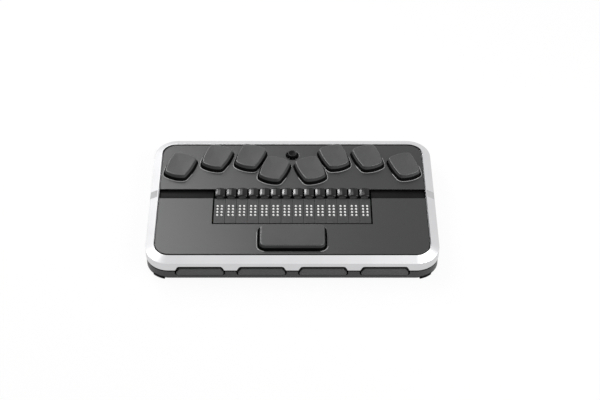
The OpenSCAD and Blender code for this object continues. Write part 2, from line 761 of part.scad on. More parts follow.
module cell_frames() {
    front = cell_y - cell_len / 2 + 2 * fit_gap;
    rear = cell_y + cell_len / 2 - 2 * fit_gap;
    side = reed_x + reed_w / 2 + fit_gap;
    color(GLOSS_BLACK) for (x = cell_xs) translate([x, 0, 0]) {
        along_x(-web_t / 2, web_t / 2) polygon([[front, floor_z], [clamp_y + clamp_len, floor_z],
            [clamp_y + clamp_len, clamp_top], [rear, clamp_top], [rear, cap_under], [front, cap_under]]);
        block(-side, side, front, front + cap_foot, floor_z, cap_under);
        block(-side, side, rear - cap_foot, rear, clamp_top, cap_under);
        along_y(clamp_y, clamp_y + clamp_len) difference() {
            translate([-side, floor_z]) square([2 * side, clamp_top - floor_z]);
            for (sx = [-1, 1], level = [0 : REED_LEVELS - 1])
                translate([sx * reed_x, reed_top(level) - reed_t / 2])
                    square([reed_w + fit_gap, reed_t + fit_gap], center = true);
        }
    }
}

module piezo_reeds() {
    past_pin = 0.2;
    tip = dot_d / 2 + past_pin;
    tail = 0.5;
    color(REED_BRASS) for (x = cell_xs, sx = [-1, 1], level = [0 : REED_LEVELS - 1]) {
        row = REED_LEVELS - 1 - level;
        block(x + sx * reed_x - reed_w / 2, x + sx * reed_x + reed_w / 2,
              row_y(row) - tip, clamp_y + clamp_len - tail, reed_top(level) - reed_t, reed_top(level));
    }
}

module cell_backplane() {
    color(BOARD_GREEN) block(-cells_w / 2, cells_w / 2, clamp_y + clamp_len + fit_gap,
                             clamp_y + clamp_len + fit_gap + board_t, floor_z, clamp_top);
}

// All pins of one dot number: dots 1, 2, 3 and 7 are the left column from the rear
module dot_pins(n) {
    left = len(search(n, LEFT_DOTS)) > 0;
    row = search(n, left ? LEFT_DOTS : RIGHT_DOTS)[0];
    foot = reed_top(REED_LEVELS - 1 - row) + bore_gap;
    shoulder = cap_z + dot_rise - dot_d / 2;
    color(PIN_WHITE) for (x = cell_xs)
        translate([x + (left ? -1 : 1) * dot_pitch / 2, row_y(row), 0]) rotate_extrude() {
            translate([0, foot]) square([dot_d / 2, shoulder - foot]);
            intersection() {
                translate([0, shoulder]) circle(d = dot_d);
                translate([0, shoulder]) square(dot_d);
            }
        }
}

// Routing keys

module routing_key(i) {
    crest = plate_z + routing_rise;
    color(GLOSS_BLACK) translate([cell_xs[i], routing_y, 0]) {
        along_y(-routing_len / 2, routing_len / 2) {
            intersection() {
                translate([0, crest - routing_crown_r]) circle(routing_crown_r);
                translate([-routing_w / 2, crest - routing_crown_r]) square([routing_w, routing_crown_r]);
            }
            translate([-routing_w / 2, routing_z]) square([routing_w, crest - routing_crown_r - routing_z]);
        }
        for (sy = [-1, 1]) translate([0, sy * routing_stem_y, routing_stem_z])
            cylinder(d = routing_stem_d, h = routing_z - routing_stem_z + slice);
    }
}

module routing_guide() {
    y0 = routing_y - routing_len / 2 + fit_gap;
    y1 = routing_y + routing_len / 2 - fit_gap;
    color(TRAY_GREY) difference() {
        union() {
            block(-cells_w / 2, cells_w / 2, y0, y1, guide_top - guide_t, guide_top);
            block(-cells_w / 2, cells_w / 2, y0, y0 + guide_wall, board_z, guide_top);
            block(-cells_w / 2, cells_w / 2, y1 - guide_wall, y1, board_z, guide_top);
        }
        for (x = cell_xs, sy = [-1, 1]) translate([x, routing_y + sy * routing_stem_y, board_z])
            cylinder(d = routing_stem_d + 2 * bore_gap, h = guide_top - board_z + past);
    }
}

module routing_domes() {
    color(STEEL) for (x = cell_xs) translate([x, routing_y, board_z])
        cylinder(d1 = dome_d, d2 = dome_top_d, h = dome_h);
}

// Typing keys

module key_slice(grow, z) {
    translate([0, 0, z]) linear_extrude(height = slice) polygon(key_outline(grow));
}

// Stem under a key's roof
module key_stem() {
    translate([0, 0, stem_z]) cylinder(d = stem_d, h = roof_z - stem_z + slice);
}

module dot_key(n) {
    top = plate_z + key_rise;
    tab_reach = key_len / 2 + key_end_swell + key_gap + lip_reach;
    color(KEY_GREY) at_dot_key(n) {
        difference() {
            union() {
                translate([0, 0, skirt_z]) linear_extrude(height = plate_z - skirt_z) polygon(key_outline(0));
                hull() {
                    key_slice(0, plate_z - slice);
                    key_slice(-key_taper, top - key_edge);
                    key_slice(-key_taper - key_edge / 2, top - key_edge / 4);
                    key_slice(-key_taper - key_edge, top - slice);
                }
                translate([-tab_w / 2, -tab_reach, tab_z]) cube([tab_w, 2 * tab_reach, tab_h]);
            }
            translate([0, 0, top + dish_ball_r - dish_depth]) sphere(dish_ball_r);
            translate([0, 0, skirt_z - past]) linear_extrude(height = roof_z - skirt_z + past)
                polygon(key_outline(-key_wall));
        }
        key_stem();
    }
}

module bar_slice(inset, z) {
    translate([0, 0, z]) linear_extrude(height = slice)
        rounded_rect(bar_w - 2 * inset, bar_d - 2 * inset, bar_r - inset);
}

module space_bar() {
    top = plate_z + bar_rise;
    tab_reach = bar_w / 2 + key_gap + lip_reach;
    color(KEY_GREY) translate([0, bar_y, 0]) {
        difference() {
            union() {
                translate([0, 0, skirt_z]) linear_extrude(height = plate_z - skirt_z)
                    rounded_rect(bar_w, bar_d, bar_r);
                hull() {
                    bar_slice(0, plate_z - slice);
                    bar_slice(bar_taper, top - bar_crown);
                    bar_slice(bar_taper + bar_crown / 2, top - bar_crown / 4);
                    bar_slice(bar_taper + 2 * bar_crown, top - slice);
                }
                translate([-tab_reach, -tab_w / 2, tab_z]) cube([2 * tab_reach, tab_w, tab_h]);
            }
            translate([0, 0, skirt_z - past]) linear_extrude(height = roof_z - skirt_z + past)
                rounded_rect(bar_w - 2 * key_wall, bar_d - 2 * key_wall, bar_r - key_wall / 2);
        }
        for (sx = [-1, 1]) translate([sx * bar_switch_x, 0, 0]) key_stem();
    }
}

// Every place of a key switch, in the frame of its key
module at_key_switches() {
    for (n = DOT_NUMBERS) at_dot_key(n) children();
}

module at_bar_switches() {
    for (sx = [-1, 1]) translate([sx * bar_switch_x, bar_y, 0]) children();
}

module switch_housing(z0) {
    difference() {
        translate([-switch_w / 2, -switch_w / 2, z0]) cube([switch_w, switch_w, switch_z - z0]);
        translate([0, 0, stem_z - key_travel - stop_gap])
            cylinder(d = stem_d + 2 * bore_gap, h = switch_z - stem_z + key_travel + stop_gap + past);
    }
}

module key_switches() {
    color(GLOSS_BLACK) {
        at_key_switches() switch_housing(board_z);
        at_bar_switches() switch_housing(lower_board_top);
    }
}

// Centre of the spring's wire at ring i
function wire_at(i) =
    let (rings = spring_turns * RINGS_PER_TURN, angle = 360 * i / RINGS_PER_TURN)
    [spring_r * cos(angle), spring_r * sin(angle), spring_low + (spring_high - spring_low) * i / rings];

module coil_spring() {
    rings = spring_turns * RINGS_PER_TURN;
    points = [for (i = [0 : rings], j = [0 : WIRE_SIDES - 1])
              let (angle = 360 * i / RINGS_PER_TURN, side = 360 * j / WIRE_SIDES)
              wire_at(i) + wire_d / 2 * [cos(angle) * cos(side), sin(angle) * cos(side), sin(side)]];
    walls = [for (i = [0 : rings - 1], j = [0 : WIRE_SIDES - 1], half = [0, 1])
             let (a = i * WIRE_SIDES + j, b = i * WIRE_SIDES + (j + 1) % WIRE_SIDES)
             half == 0 ? [a, a + WIRE_SIDES, b] : [b, a + WIRE_SIDES, b + WIRE_SIDES]];
    first_end = [for (j = [0 : WIRE_SIDES - 1]) j];
    last_end = [for (j = [WIRE_SIDES - 1 : -1 : 0]) rings * WIRE_SIDES + j];
    polyhedron(points, concat(walls, [first_end, last_end]));
}

// Least gap of the wire to itself, between rings at least half a turn apart
spring_gap = min([for (i = [0 : spring_turns * RINGS_PER_TURN], j = [0 : i])
                  if (i - j >= RINGS_PER_TURN / 2) norm(wire_at(i) - wire_at(j)) - wire_d]);
echo(spring_gap = spring_gap);

module return_springs() {
    color(STEEL) {
        at_key_switches() coil_spring();
        at_bar_switches() coil_spring();
    }
}

// Thumb keys

module thumb_key(n) {
    x = thumb_xs[n - 1];
    color(TRAY_GREY) translate([x, 0, 0]) {
        along_y(thumb_front, thumb_back - flange_t + slice) thumb_outline(0, 0);
        along_y(thumb_back - flange_t, thumb_back) thumb_outline(thumb_gap + lip_reach, thumb_top_gap);
        translate([0, thumb_back - slice, thumb_mid_z]) rotate([-90, 0, 0])
            cylinder(d = thumb_stem_d, h = thumb_stem_len + slice);
    }
}

module side_switches() {
    color(GLOSS_BLACK) {
        for (x = thumb_xs) difference() {
            block(x - switch_w / 2, x + switch_w / 2, thumb_switch_y, thumb_switch_y + thumb_switch_len,
                  lower_board_top, thumb_mid_z + thumb_stem_d / 2 + stop_gap * 2);
            translate([x, thumb_switch_y - past, thumb_mid_z]) rotate([-90, 0, 0])
                cylinder(d = thumb_stem_d + 2 * bore_gap, h = past + stem_in + thumb_travel + stop_gap);
        }
        difference() {
            block(power_switch_x - power_switch_len, power_switch_x, -power_y - switch_w / 2,
                  -power_y + switch_w / 2, lower_board_top, power_mid_z + power_stem_d);
            translate([power_switch_x + past, -power_y, power_mid_z]) rotate([0, -90, 0])
                cylinder(d = power_stem_d + 2 * bore_gap, h = past + stem_in + power_travel + stop_gap);
        }
    }
}

module power_button() {
    color(TRAY_GREY) translate([0, -power_y, power_mid_z]) {
        along_x(power_flange_x - slice, body_w / 2) rounded_rect(power_len, power_h, power_h / 2 - slice);
        along_x(power_flange_x - flange_t, power_flange_x)
            rounded_rect(power_len + 2 * lip_reach, power_h + 2 * lip_reach, power_h / 2);
        translate([power_flange_x - flange_t + slice, 0, 0]) rotate([0, -90, 0])
            cylinder(d = power_stem_d, h = power_flange_x - flange_t - power_switch_x + stem_in + slice);
    }
}

// Joystick

module at_stick() {
    translate([0, nub_y, 0]) children();
}

module joystick_base() {
    color(STEEL) at_stick() difference() {
        translate([0, 0, board_z]) cylinder(d = stick_base_d, h = stick_base_top - board_z);
        translate([0, 0, board_z + stop_gap]) cylinder(d = stick_well_d, h = stick_base_top - board_z);
        translate([-stick_base_d, 0, gimbal_z]) rotate([0, 90, 0])
            cylinder(d = trunnion_d + 2 * bore_gap, h = 2 * stick_base_d);
    }
}

module joystick_yoke() {
    pin_end = stick_base_d / 2 - fit_gap;
    color(STEEL) at_stick() difference() {
        union() {
            translate([0, 0, gimbal_z - yoke_t / 2]) cylinder(d = yoke_out_d, h = yoke_t);
            translate([-pin_end, 0, gimbal_z]) rotate([0, 90, 0]) cylinder(d = trunnion_d, h = 2 * pin_end);
        }
        translate([0, 0, gimbal_z - past]) cylinder(d = yoke_in_d, h = 2 * past);
        translate([0, -stick_base_d, gimbal_z]) rotate([-90, 0, 0])
            cylinder(d = trunnion_d + 2 * bore_gap, h = 2 * stick_base_d);
    }
}

module joystick_stem() {
    pin_end = yoke_out_d / 2 - bore_gap;
    color(STEEL) at_stick() {
        translate([0, 0, gimbal_z - yoke_t / 2]) cylinder(d = stick_d, h = stick_top - gimbal_z + yoke_t / 2);
        translate([0, -pin_end, gimbal_z]) rotate([-90, 0, 0]) cylinder(d = trunnion_d, h = 2 * pin_end);
    }
}

module joystick_cap() {
    dish = 0.6;
    rim = 0.6;
    dish_d = nub_d - 2 * rim;
    ball_r = (dish_d * dish_d / 4 + dish * dish) / (2 * dish);
    color(GLOSS_BLACK) at_stick() difference() {
        union() {
            translate([0, 0, nub_under]) cylinder(d = nub_d, h = nub_top - nub_under);
            translate([0, 0, nub_collar_z]) cylinder(d = nub_collar_d, h = nub_top - nub_collar_z - nub_roof);
        }
        translate([0, 0, nub_top + ball_r - dish]) sphere(ball_r);
        translate([0, 0, nub_collar_z - past])
            cylinder(d = stick_d + 2 * bore_gap, h = stick_top + nub_press + fit_gap - nub_collar_z + past);
    }
}

// Boards, battery and socket

module key_board() {
    color(BOARD_GREEN) translate([0, 0, board_under]) linear_extrude(height = board_t) difference() {
        translate([-key_board_w / 2, key_board_front])
            square([key_board_w, key_board_rear - key_board_front]);
        for (side = [-1, 1]) mirror([side < 0 ? 1 : 0, 0])
            translate(lugs[3] - [1, 1] * (lug_r + 2 * stop_gap)) square(body_d / 2);
        post_holes(key_posts);
    }
}

module front_board() {
    color(BOARD_GREEN) translate([0, 0, lower_board_z]) linear_extrude(height = board_t) difference() {
        translate([-front_board_w / 2, front_board_front])
            square([front_board_w, front_board_rear - front_board_front]);
        post_holes(front_posts);
    }
}

module main_board() {
    chip_h = 1.2;
    chip_w = 9;
    color(BOARD_GREEN) {
        translate([0, 0, lower_board_z]) linear_extrude(height = board_t) difference() {
            union() {
                translate([bay_in, bay_y - bay_len / 2]) square([bay_board_w, bay_len]);
                translate([bay_in, socket_y - socket_w / 2 - fit_gap])
                    square([side_in - stop_gap - bay_in, socket_w + 2 * fit_gap]);
                translate([bay_in, -power_y - switch_w / 2 - fit_gap])
                    square([power_switch_x - bay_in, switch_w + 2 * fit_gap]);
            }
            post_holes(main_posts);
        }
        for (y = [bay_y - chip_w, bay_y + chip_w])
            block(bay_in + chip_w / 2, bay_in + chip_w * 1.5, y - chip_w / 2, y + chip_w / 2,
                  lower_board_top - slice, lower_board_top + chip_h);
    }
}

module battery_pack() {
    corner = 1.5;
    color(STEEL) translate([-bay_mid_x, bay_y, floor_z]) linear_extrude(height = battery_t)
        rounded_rect(bay_board_w, bay_len, corner);
}

module usb_socket() {
    x1 = side_out - fit_gap;
    x0 = x1 - socket_len;
    back_t = 1;
    tongue_t = 0.7;
    tongue_gap = 1.2;
    color(STEEL) translate([0, socket_y, socket_mid_z]) {
        along_x(x0, x1) difference() {
            rounded_rect(socket_w, socket_h, socket_h / 2 - slice);
            rounded_rect(socket_w - 2 * socket_wall, socket_h - 2 * socket_wall,
                         socket_h / 2 - socket_wall - slice);
        }
        along_x(x0, x0 + back_t) rounded_rect(socket_w, socket_h, socket_h / 2 - slice);
        along_x(x0 + back_t / 2, x1 - tongue_gap)
            square([socket_w - 2 * tongue_gap - 2 * socket_wall, tongue_t], center = true);
    }
}

base_tray();
bezel_frame();
top_plate();
antenna_windows();
cell_caps();
cell_frames();
piezo_reeds();
cell_backplane();
routing_guide();
routing_domes();
key_board();
key_switches();
return_springs();
front_board();
side_switches();
main_board();
battery_pack();
usb_socket();
joystick_base();
joystick_yoke();
joystick_stem();
joystick_cap();
power_button();
rubber_feet();
case_screws();
space_bar();
for (n = DOT_NUMBERS) dot_key(n);
for (n = DOT_NUMBERS) dot_pins(n);
for (n = THUMBS) thumb_key(n);
for (i = [0 : cells - 1]) routing_key(i);
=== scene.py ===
"""Dresses a braille display: models its plate, keys, cells and nub, and finishes every piece."""

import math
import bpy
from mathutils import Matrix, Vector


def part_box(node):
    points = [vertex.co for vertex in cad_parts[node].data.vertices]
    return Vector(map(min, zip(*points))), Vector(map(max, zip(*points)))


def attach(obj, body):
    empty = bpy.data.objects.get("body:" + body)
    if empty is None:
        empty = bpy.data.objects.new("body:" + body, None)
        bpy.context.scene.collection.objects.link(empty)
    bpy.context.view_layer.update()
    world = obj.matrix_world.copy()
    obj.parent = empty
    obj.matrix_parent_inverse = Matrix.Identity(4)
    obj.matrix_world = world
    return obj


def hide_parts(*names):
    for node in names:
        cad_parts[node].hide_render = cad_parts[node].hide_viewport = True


bl_info = {
    "name": "Braille Display Dressing",
    "version": (1, 0, 0),
    "blender": (4, 5, 0),
    "location": "View3D > Sidebar > Braille Display",
    "description": "Models the pieces of a braille display and gives each its finish",
    "category": "Object",
}

import bmesh
import bpy
from bpy.props import FloatProperty, FloatVectorProperty, IntProperty, PointerProperty
from mathutils import Vector

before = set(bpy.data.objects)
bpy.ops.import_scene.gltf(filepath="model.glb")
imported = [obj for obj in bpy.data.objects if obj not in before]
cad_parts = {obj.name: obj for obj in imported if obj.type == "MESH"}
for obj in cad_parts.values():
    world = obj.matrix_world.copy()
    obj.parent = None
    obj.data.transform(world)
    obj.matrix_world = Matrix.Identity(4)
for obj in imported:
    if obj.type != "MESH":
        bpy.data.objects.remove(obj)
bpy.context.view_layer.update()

MM = 0.001
DOT_NUMBERS = range(1, 9)
LEFT_DOTS = (1, 2, 3, 7)
THUMB_NUMBERS = range(1, 5)
ROUTING_KEYS = sorted(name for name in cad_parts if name.startswith("routing_key_"))
PLATE_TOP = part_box("top_plate")[1].z

# Places of a cell's dots, counted in dot pitches from the cap's middle
DOT_COLUMNS = (-0.5, 0.5)
DOT_ROWS = (-1.5, -0.5, 0.5, 1.5)

# Gap to close between a solid's faces, least angle to round, and roundings of the frame and its inserts
WELD_GAP = 0.002 * MM
SHARP_EDGE = math.radians(32.0)
FRAME_EDGE = 0.28 * MM
INSERT_EDGE = 0.1 * MM

# Share of an insert's half width within which the frame's edge moves along with it
INSERT_REACH = 1.05

# Steps along curves
SIDE_STEPS = 10
CORNER_STEPS = 8
EDGE_STEPS = 6
END_STEPS = 5
FINE_RIM_STEPS = 2
DISH_STEPS = 64
BORE_STEPS = 20
NOTCH_STEPS = 8
BEAD_SIDES = 8
BEAD_TIP = 1 / 8

# Rings on curved tops, as shares of the top's outline or of half its length
KEY_RINGS = (0.92, 0.8, 0.66, 0.5, 0.34, 0.18)
BAR_RINGS = (0.9, 0.7, 0.5, 0.3, 0.1)
ROUTING_RINGS = (-0.6, -0.35, 0.0, 0.35, 0.6)

# Rings in the nub's dish: share of its radius and share of its depth
NUB_RINGS = ((0.5, 0.85), (0.15, 1.0))

# Polished bands on the nub's rim
NUB_POLISHED = (5, 6)

# Materials of a typing key by their place in its list; the foot's black is painted shade on the wall's lower
# share
KEY_TOP, KEY_WALL, KEY_SHADE_FOOT, KEY_EDGE = range(4)

# Place, width and depth of each lamp, and the point that they face
LAMPS = {
    "top": ((-0.36, 0.10, 0.47), 0.30, 0.30),
    "strip": ((-0.35, 0.533, 0.39), 0.15, 0.08),
    "sheen": ((-0.27, 0.47, 0.65), 0.45, 0.35),
    "right": ((0.45, -0.14, 0.38), 0.45, 0.35),
    "edge": ((0.42, -0.50, 0.61), 0.24, 0.24),
}
LAMP_AIM = (0.0, 0.0, 0.012)
WHITE = (1.0, 1.0, 1.0, 1.0)

# What sets each finish apart, beside its colour; one that borrows another's colour names it
LOOKS = {
    "plate": dict(roughness=0.33, specular=0.48, spread=0.05, relief=0.03),
    "lip": dict(roughness=0.24, relief=0.03),
    "key_top": dict(roughness=0.50, specular=0.25, spread=0.06, relief=0.08),
    "key_edge": dict(colour="key_top", roughness=0.28, spread=0.06, relief=0.03),
    "key_wall": dict(roughness=0.45, specular=0.04, relief=0.04),
    "groove": dict(roughness=0.50, specular=0.06, relief=0.05),
    "cap": dict(roughness=0.45, specular=0.3, spread=0.22, blotch=420.0, relief=0.08),
    "pin": dict(roughness=0.35, spread=0.03, relief=0.02),
    "metal": dict(roughness=0.34, metallic=1.0, spread=0.02, grain=5200.0, relief=0.05),
    "insert": dict(roughness=0.45, spread=0.03),
    "tray": dict(roughness=0.48, relief=0.16, grain=1900.0),
    "thumb": dict(roughness=0.36, relief=0.05),
    "gloss": dict(roughness=0.18, specular=0.22, relief=0.0, polish=0.02),
    "nose": dict(roughness=0.50, relief=0.04),
    "board": dict(roughness=0.38, spread=0.25, blotch=260.0, relief=0.03),
    "steel": dict(roughness=0.30, metallic=1.0, spread=0.08, relief=0.03),
    "reed": dict(roughness=0.34, metallic=1.0, spread=0.10, stretch=(1.0, 0.1, 1.0)),
    "foil": dict(roughness=0.32, metallic=1.0, spread=0.10, blotch=140.0, relief=0.10),
    "rubber": dict(roughness=0.78, specular=0.06, relief=0.30, grain=1500.0),
}


# Kinds of property

def length(name, description, millimetres):
    """Length in metres whose default is given in millimetres."""
    return FloatProperty(name=name, description=description, default=millimetres * MM, min=0.0, unit="LENGTH",
                         precision=5)


def tint(name, description, colour):
    """Linear colour."""
    return FloatVectorProperty(name=name, description=description, default=colour, size=3, min=0.0, max=1.0,
                               subtype="COLOR")


def share(name, description, value):
    """Value from 0 to 1."""
    return FloatProperty(name=name, description=description, default=value, min=0.0, max=1.0,
                         subtype="FACTOR")


def power(name, description, watts):
    """Power of a lamp."""
    return FloatProperty(name=name, description=description, default=watts, min=0.0, unit="POWER")


class BrailleKeySizes(bpy.types.PropertyGroup):
    """Sizes of a dot key"""
    front_w: length("Front width", "Width of a key at its front", 14.2)
    rear_w: length("Rear width", "Width of a key at its rear", 15.6)
    reach: length("Length", "Length of a key from front to rear", 19.0)
    corner_r: length("Corner radius", "Radius of a key's corners", 3.0)
    side_swell: length("Side swell", "Swell of a key's long sides", 0.5)
    end_swell: length("End swell", "Swell of a key's ends", 0.7)
    lean: FloatProperty(name="Lean", description="Lean of a key towards the middle",
                        default=math.radians(20.0), subtype="ANGLE")
    taper: length("Taper", "Narrowing towards a key's top, on each side", 0.8)
    # The black on a key wall's lower share is painted shade, where the neighbouring keys shadow it
    painted_shade_share: share("Wall foot", "Share of a key's wall, from the plate up, that is black", 0.5)
    edge_r: length("Edge radius", "Rounding of a key's upper edge", 0.55)
    dish: length("Dish", "Depth of the finger dish", 0.45)
    skirt: length("Skirt", "Depth of a key below the plate", 4.0)
    # The wells' black floors are painted shade in the gaps around the keys
    well_side: length("Well side", "Width of the dark well along a key's sides and rear", 0.5)
    well_front: length("Well front", "Further width of that well along a key's front", 0.3)
    well_depth: length("Well depth", "Depth of that well", 1.0)
    lip_w: length("Lip width", "Width of the lip around the front of that well", 0.55)
    lip_h: length("Lip height", "Height of that lip", 0.25)


class BrailleBarSizes(bpy.types.PropertyGroup):
    """Sizes of the space bar"""
    width: length("Width", "Width of the space bar", 37.2)
    depth: length("Depth", "Depth of the space bar from front to rear", 17.6)
    corner_r: length("Corner radius", "Radius of the bar's corners", 3.2)
    taper: length("Taper", "Narrowing towards the bar's top, on each side", 0.5)
    edge_r: length("Edge radius", "Rounding of the bar's upper edge", 0.7)
    # The black on the bar wall's lower share is painted shade
    painted_shade_share: share("Wall foot", "Share of the bar's wall, from the plate up, that is black", 0.45)
    crown: length("Crown", "Swell of the bar's top", 0.2)


class BraillePlateSizes(bpy.types.PropertyGroup):
    """Sizes of the top plate"""
    thick: length("Thickness", "Thickness of the plate", 1.8)
    corner_r: length("Corner radius", "Radius of the plate's corners", 7.9)
    edge_r: length("Edge radius", "Rounding along the plate's outline", 0.25)
    hole_gap: length("Hole gap", "Gap between a key and its hole", 0.2)
    key_rim: length("Key rim", "Rounding around a dot key's well", 0.2)
    # The black floor of the well around the bar is painted shade
    bar_well: length("Bar well", "Width of the dark well around the space bar", 0.9)
    bar_lip: length("Bar lip", "Distance of the lip around that well from its edge", 0.5)
    groove_w: length("Groove width", "Width of the groove across the plate", 7.5)
    groove_depth: length("Groove depth", "Depth of that groove", 1.5)
    window_gap: length("Window gap", "Gap beside the row of cells", 0.8)
    window_front_gap: length("Window front gap", "Gap in front of the row of cells", 1.0)
    lip_w: length("Lip width", "Width of the flat top of the frame's lip", 1.2)
    lip_rise: length("Lip rise", "Rise of that lip towards the plate at the front and sides", 0.57)
    side_slim: length("Side slimming", "How much slimmer the frame is at its sides than its solid", 0.6)
    front_slim: length("Front slimming", "How much slimmer the frame is at its front than its solid", 1.4)
    insert_slim: length("Insert slimming", "How much narrower an insert is on each side than its solid", 0.8)
    # The seam's black ring is painted shade in the gap between frame and plate
    seam_w: length("Seam width", "Width of the dark seam inside the plate's outline", 0.3)
    seam_front: length("Seam front", "Further width of that seam along the plate's front", 0.8)
    seam_sink: length("Seam depth", "Depth of that seam", 0.35)
    # The dish's black floor is painted shade
    dish_d: length("Dish diameter", "Diameter of the dish around the joystick", 8.6)
    dish_depth: length("Dish depth", "Depth of that dish", 1.0)
    dish_slope: length("Dish slope", "Width of the slope along that dish's edge", 0.5)
    stick_hole_d: length("Stick hole", "Diameter of the hole in that dish", 5.2)


class BrailleCellSizes(bpy.types.PropertyGroup):
    """Sizes of a reading cell"""
    seam: length("Seam", "Seam between two caps", 0.12)
    edge_r: length("Edge radius", "Rounding along a cap's upper edges", 0.1)
    dot_pitch: length("Dot pitch", "Distance from dot to dot", 2.45)
    bore_d: length("Bore", "Diameter of the hole around a pin", 1.4)
    bore_rim: length("Bore rim", "Rounding around a pin's hole", 0.06)
    routing_drop: length("Routing depth", "Depth of a routing key below the plate", 2.8)
    routing_crown_r: length("Routing crown", "Radius of a routing key's crown", 5.6)
    routing_flat: length("Routing top", "Half width of a routing key's top between its flanks", 1.5)
    routing_flank: length("Routing flank", "Drop of a routing key's flanks to its sides", 0.74)
    routing_round: length("Routing rounding", "Rounding between a routing key's top and flanks", 0.4)
    routing_edge_r: length("Routing edge", "Rounding of a routing key's ends", 0.8)
    routing_fall: length("Routing fall", "Drop of a routing key's crown towards its ends", 0.15)


class BrailleFrontSizes(bpy.types.PropertyGroup):
    """Sizes of the thumb keys and of the joystick's nub"""
    thumb_w: length("Thumb width", "Width of a thumb key", 26.3)
    thumb_top_w: length("Thumb top width", "Width of a thumb key along its top edge", 22.7)
    thumb_h: length("Thumb height", "Height of a thumb key", 5.0)
    thumb_sink: length("Thumb drop", "Drop of a thumb key's face below its notch's middle", 0.9)
    thumb_slant: length("Thumb slant", "Height of a thumb key's slanted ends", 2.8)
    thumb_r: length("Thumb corners", "Corner radius of a thumb key", 0.9)
    thumb_edge_r: length("Thumb edge", "Rounding of a thumb key's front edge", 0.6)
    thumb_depth: length("Thumb depth", "Depth of a thumb key's head", 2.9)
    thumb_flange: length("Thumb flange", "Width of the flange behind the case's wall", 1.3)
    thumb_flange_t: length("Thumb flange thickness", "Thickness of that flange", 1.0)
    nub_rim: length("Nub rim", "Width of the raised rim on the nub", 0.6)
    nub_taper: length("Nub taper", "Narrowing towards the nub's top, on each side", 0.3)
    nub_dish: length("Nub dish", "Depth of the nub's dish", 0.8)
    nub_neck: length("Nub neck", "Radius of the nub's neck below the plate", 1.6)
    nub_sink: length("Nub sink", "Depth of the nub's head below the plate's top", 0.1)
    nub_foot: length("Nub foot", "Width of the slope around the foot of that head", 0.2)
    nub_round: length("Nub rounding", "Rounding of the rim's outer edge", 0.35)
    nub_soft: length("Nub softening", "Drop amid that rounding and at the rim's inner edge", 0.1)
    nub_step_w: length("Nub step width", "Width of the slope from the rim into the dish", 0.5)
    nub_step_h: length("Nub step height", "Depth of that slope's lower end", 0.32)
    nub_notch: length("Nub notch", "Depth of a notch in the nub's side", 0.16)
    nub_grips: IntProperty(name="Nub grips", description="Number of those notches", default=12, min=3)


class BrailleFinishes(bpy.types.PropertyGroup):
    """Colours of the finishes"""
    plate: tint("Plate", "Matte paint of the top plate", (0.014, 0.014, 0.0145))
    # Painted highlight: the lips take a light grey far above the plate's paint, standing in for the light
    # lines along the wells
    lip: tint("Lip", "Polished edge of the plate's paint", (0.28, 0.28, 0.28))
    key_top: tint("Key top", "Matte paint of the keys' tops", (0.053, 0.053, 0.054))
    # Painted light: the walls take a lighter grey than the tops of the same plastic, so that they read as lit
    # from the right
    key_wall: tint("Key wall", "Dark plastic of the keys' walls", (0.080, 0.080, 0.081))
    # The groove's black is its own; the same finish also paints shade on the key feet, the wells, the seam
    # and the dish
    groove: tint("Groove", "Black plastic in the groove", (0.005, 0.005, 0.005))
    cap: tint("Cell cap", "Smooth plastic of the cell caps", (0.026, 0.026, 0.027))
    pin: tint("Pin", "White plastic of the pins", (0.84, 0.84, 0.83))
    metal: tint("Frame", "Satin metal of the frame", (0.60, 0.60, 0.61))
    insert: tint("Insert", "Grey plastic of the inserts", (0.40, 0.40, 0.405))
    tray: tint("Tray", "Moulded plastic of the tray", (0.020, 0.020, 0.0205))
    thumb: tint("Thumb key", "Satin plastic of the thumb keys", (0.045, 0.045, 0.046))
    # Painted light: the routing keys' front ends take a lighter grey than their glossy black, standing in for
    # the light those faces catch
    nose: tint("Nose", "Dull plastic of the routing keys' front ends", (0.10, 0.10, 0.10))
    gloss: tint("Gloss", "Glossy black of the routing keys and the nub", (0.004, 0.004, 0.004))
    board: tint("Board", "Lacquer of the circuit boards", (0.02, 0.11, 0.045))
    steel: tint("Steel", "Screws, springs and socket", (0.46, 0.47, 0.48))
    reed: tint("Reed", "Metal of the reeds", (0.52, 0.41, 0.16))
    foil: tint("Foil", "Wrap of the battery", (0.40, 0.40, 0.42))
    rubber: tint("Rubber", "Rubber of the feet", (0.006, 0.006, 0.006))


class BrailleStage(bpy.types.PropertyGroup):
    """Levels of the lamps and of the surroundings"""
    top_power: power("Top lamp", "Power of the lamp over the left side", 1.3)
    strip_power: power("Strip lamp", "Power of the small lamp at the left rear", 1.3)
    sheen_power: power("Sheen lamp", "Power of the wide lamp that the plate mirrors", 2.3)
    right_power: power("Right lamp", "Power of the wide lamp at the right", 2.0)
    edge_power: power("Edge lamp", "Power of the lamp at the right front", 1.6)
    room: share("Room", "Brightness of the surroundings", 0.15)
    floor_glow: share("Floor glow", "Share of the floor's white that shadows don't reach", 0.92)


def settings(kind):
    """Property group of that kind on the scene."""
    return getattr(bpy.context.scene, "braille_" + kind)


def middle_of(node):
    """Middle of a node's box."""
    return [(low + high) / 2 for low, high in zip(*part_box(node))]


def clamp(value):
    """Value held between 0 and 1."""
    return min(1.0, max(0.0, value))


# Outlines in the plane, as lists of 2-D vectors that run counter-clockwise

def arc(centre, radius, start, stop, steps):
    """Points on an arc, with both ends."""
    points = []
    for i in range(steps + 1):
        angle = start + (stop - start) * i / steps
        points.append(Vector((centre[0] + radius * math.cos(angle), centre[1] + radius * math.sin(angle))))
    return points


def circle(centre, radius, steps):
    """Points around a circle."""
    return arc(centre, radius, 0.0, 2.0 * math.pi, steps)[:-1]


def rectangle(left, front, right, rear):
    """Corners of a rectangle."""
    return [Vector(corner) for corner in ((left, front), (right, front), (right, rear), (left, rear))]


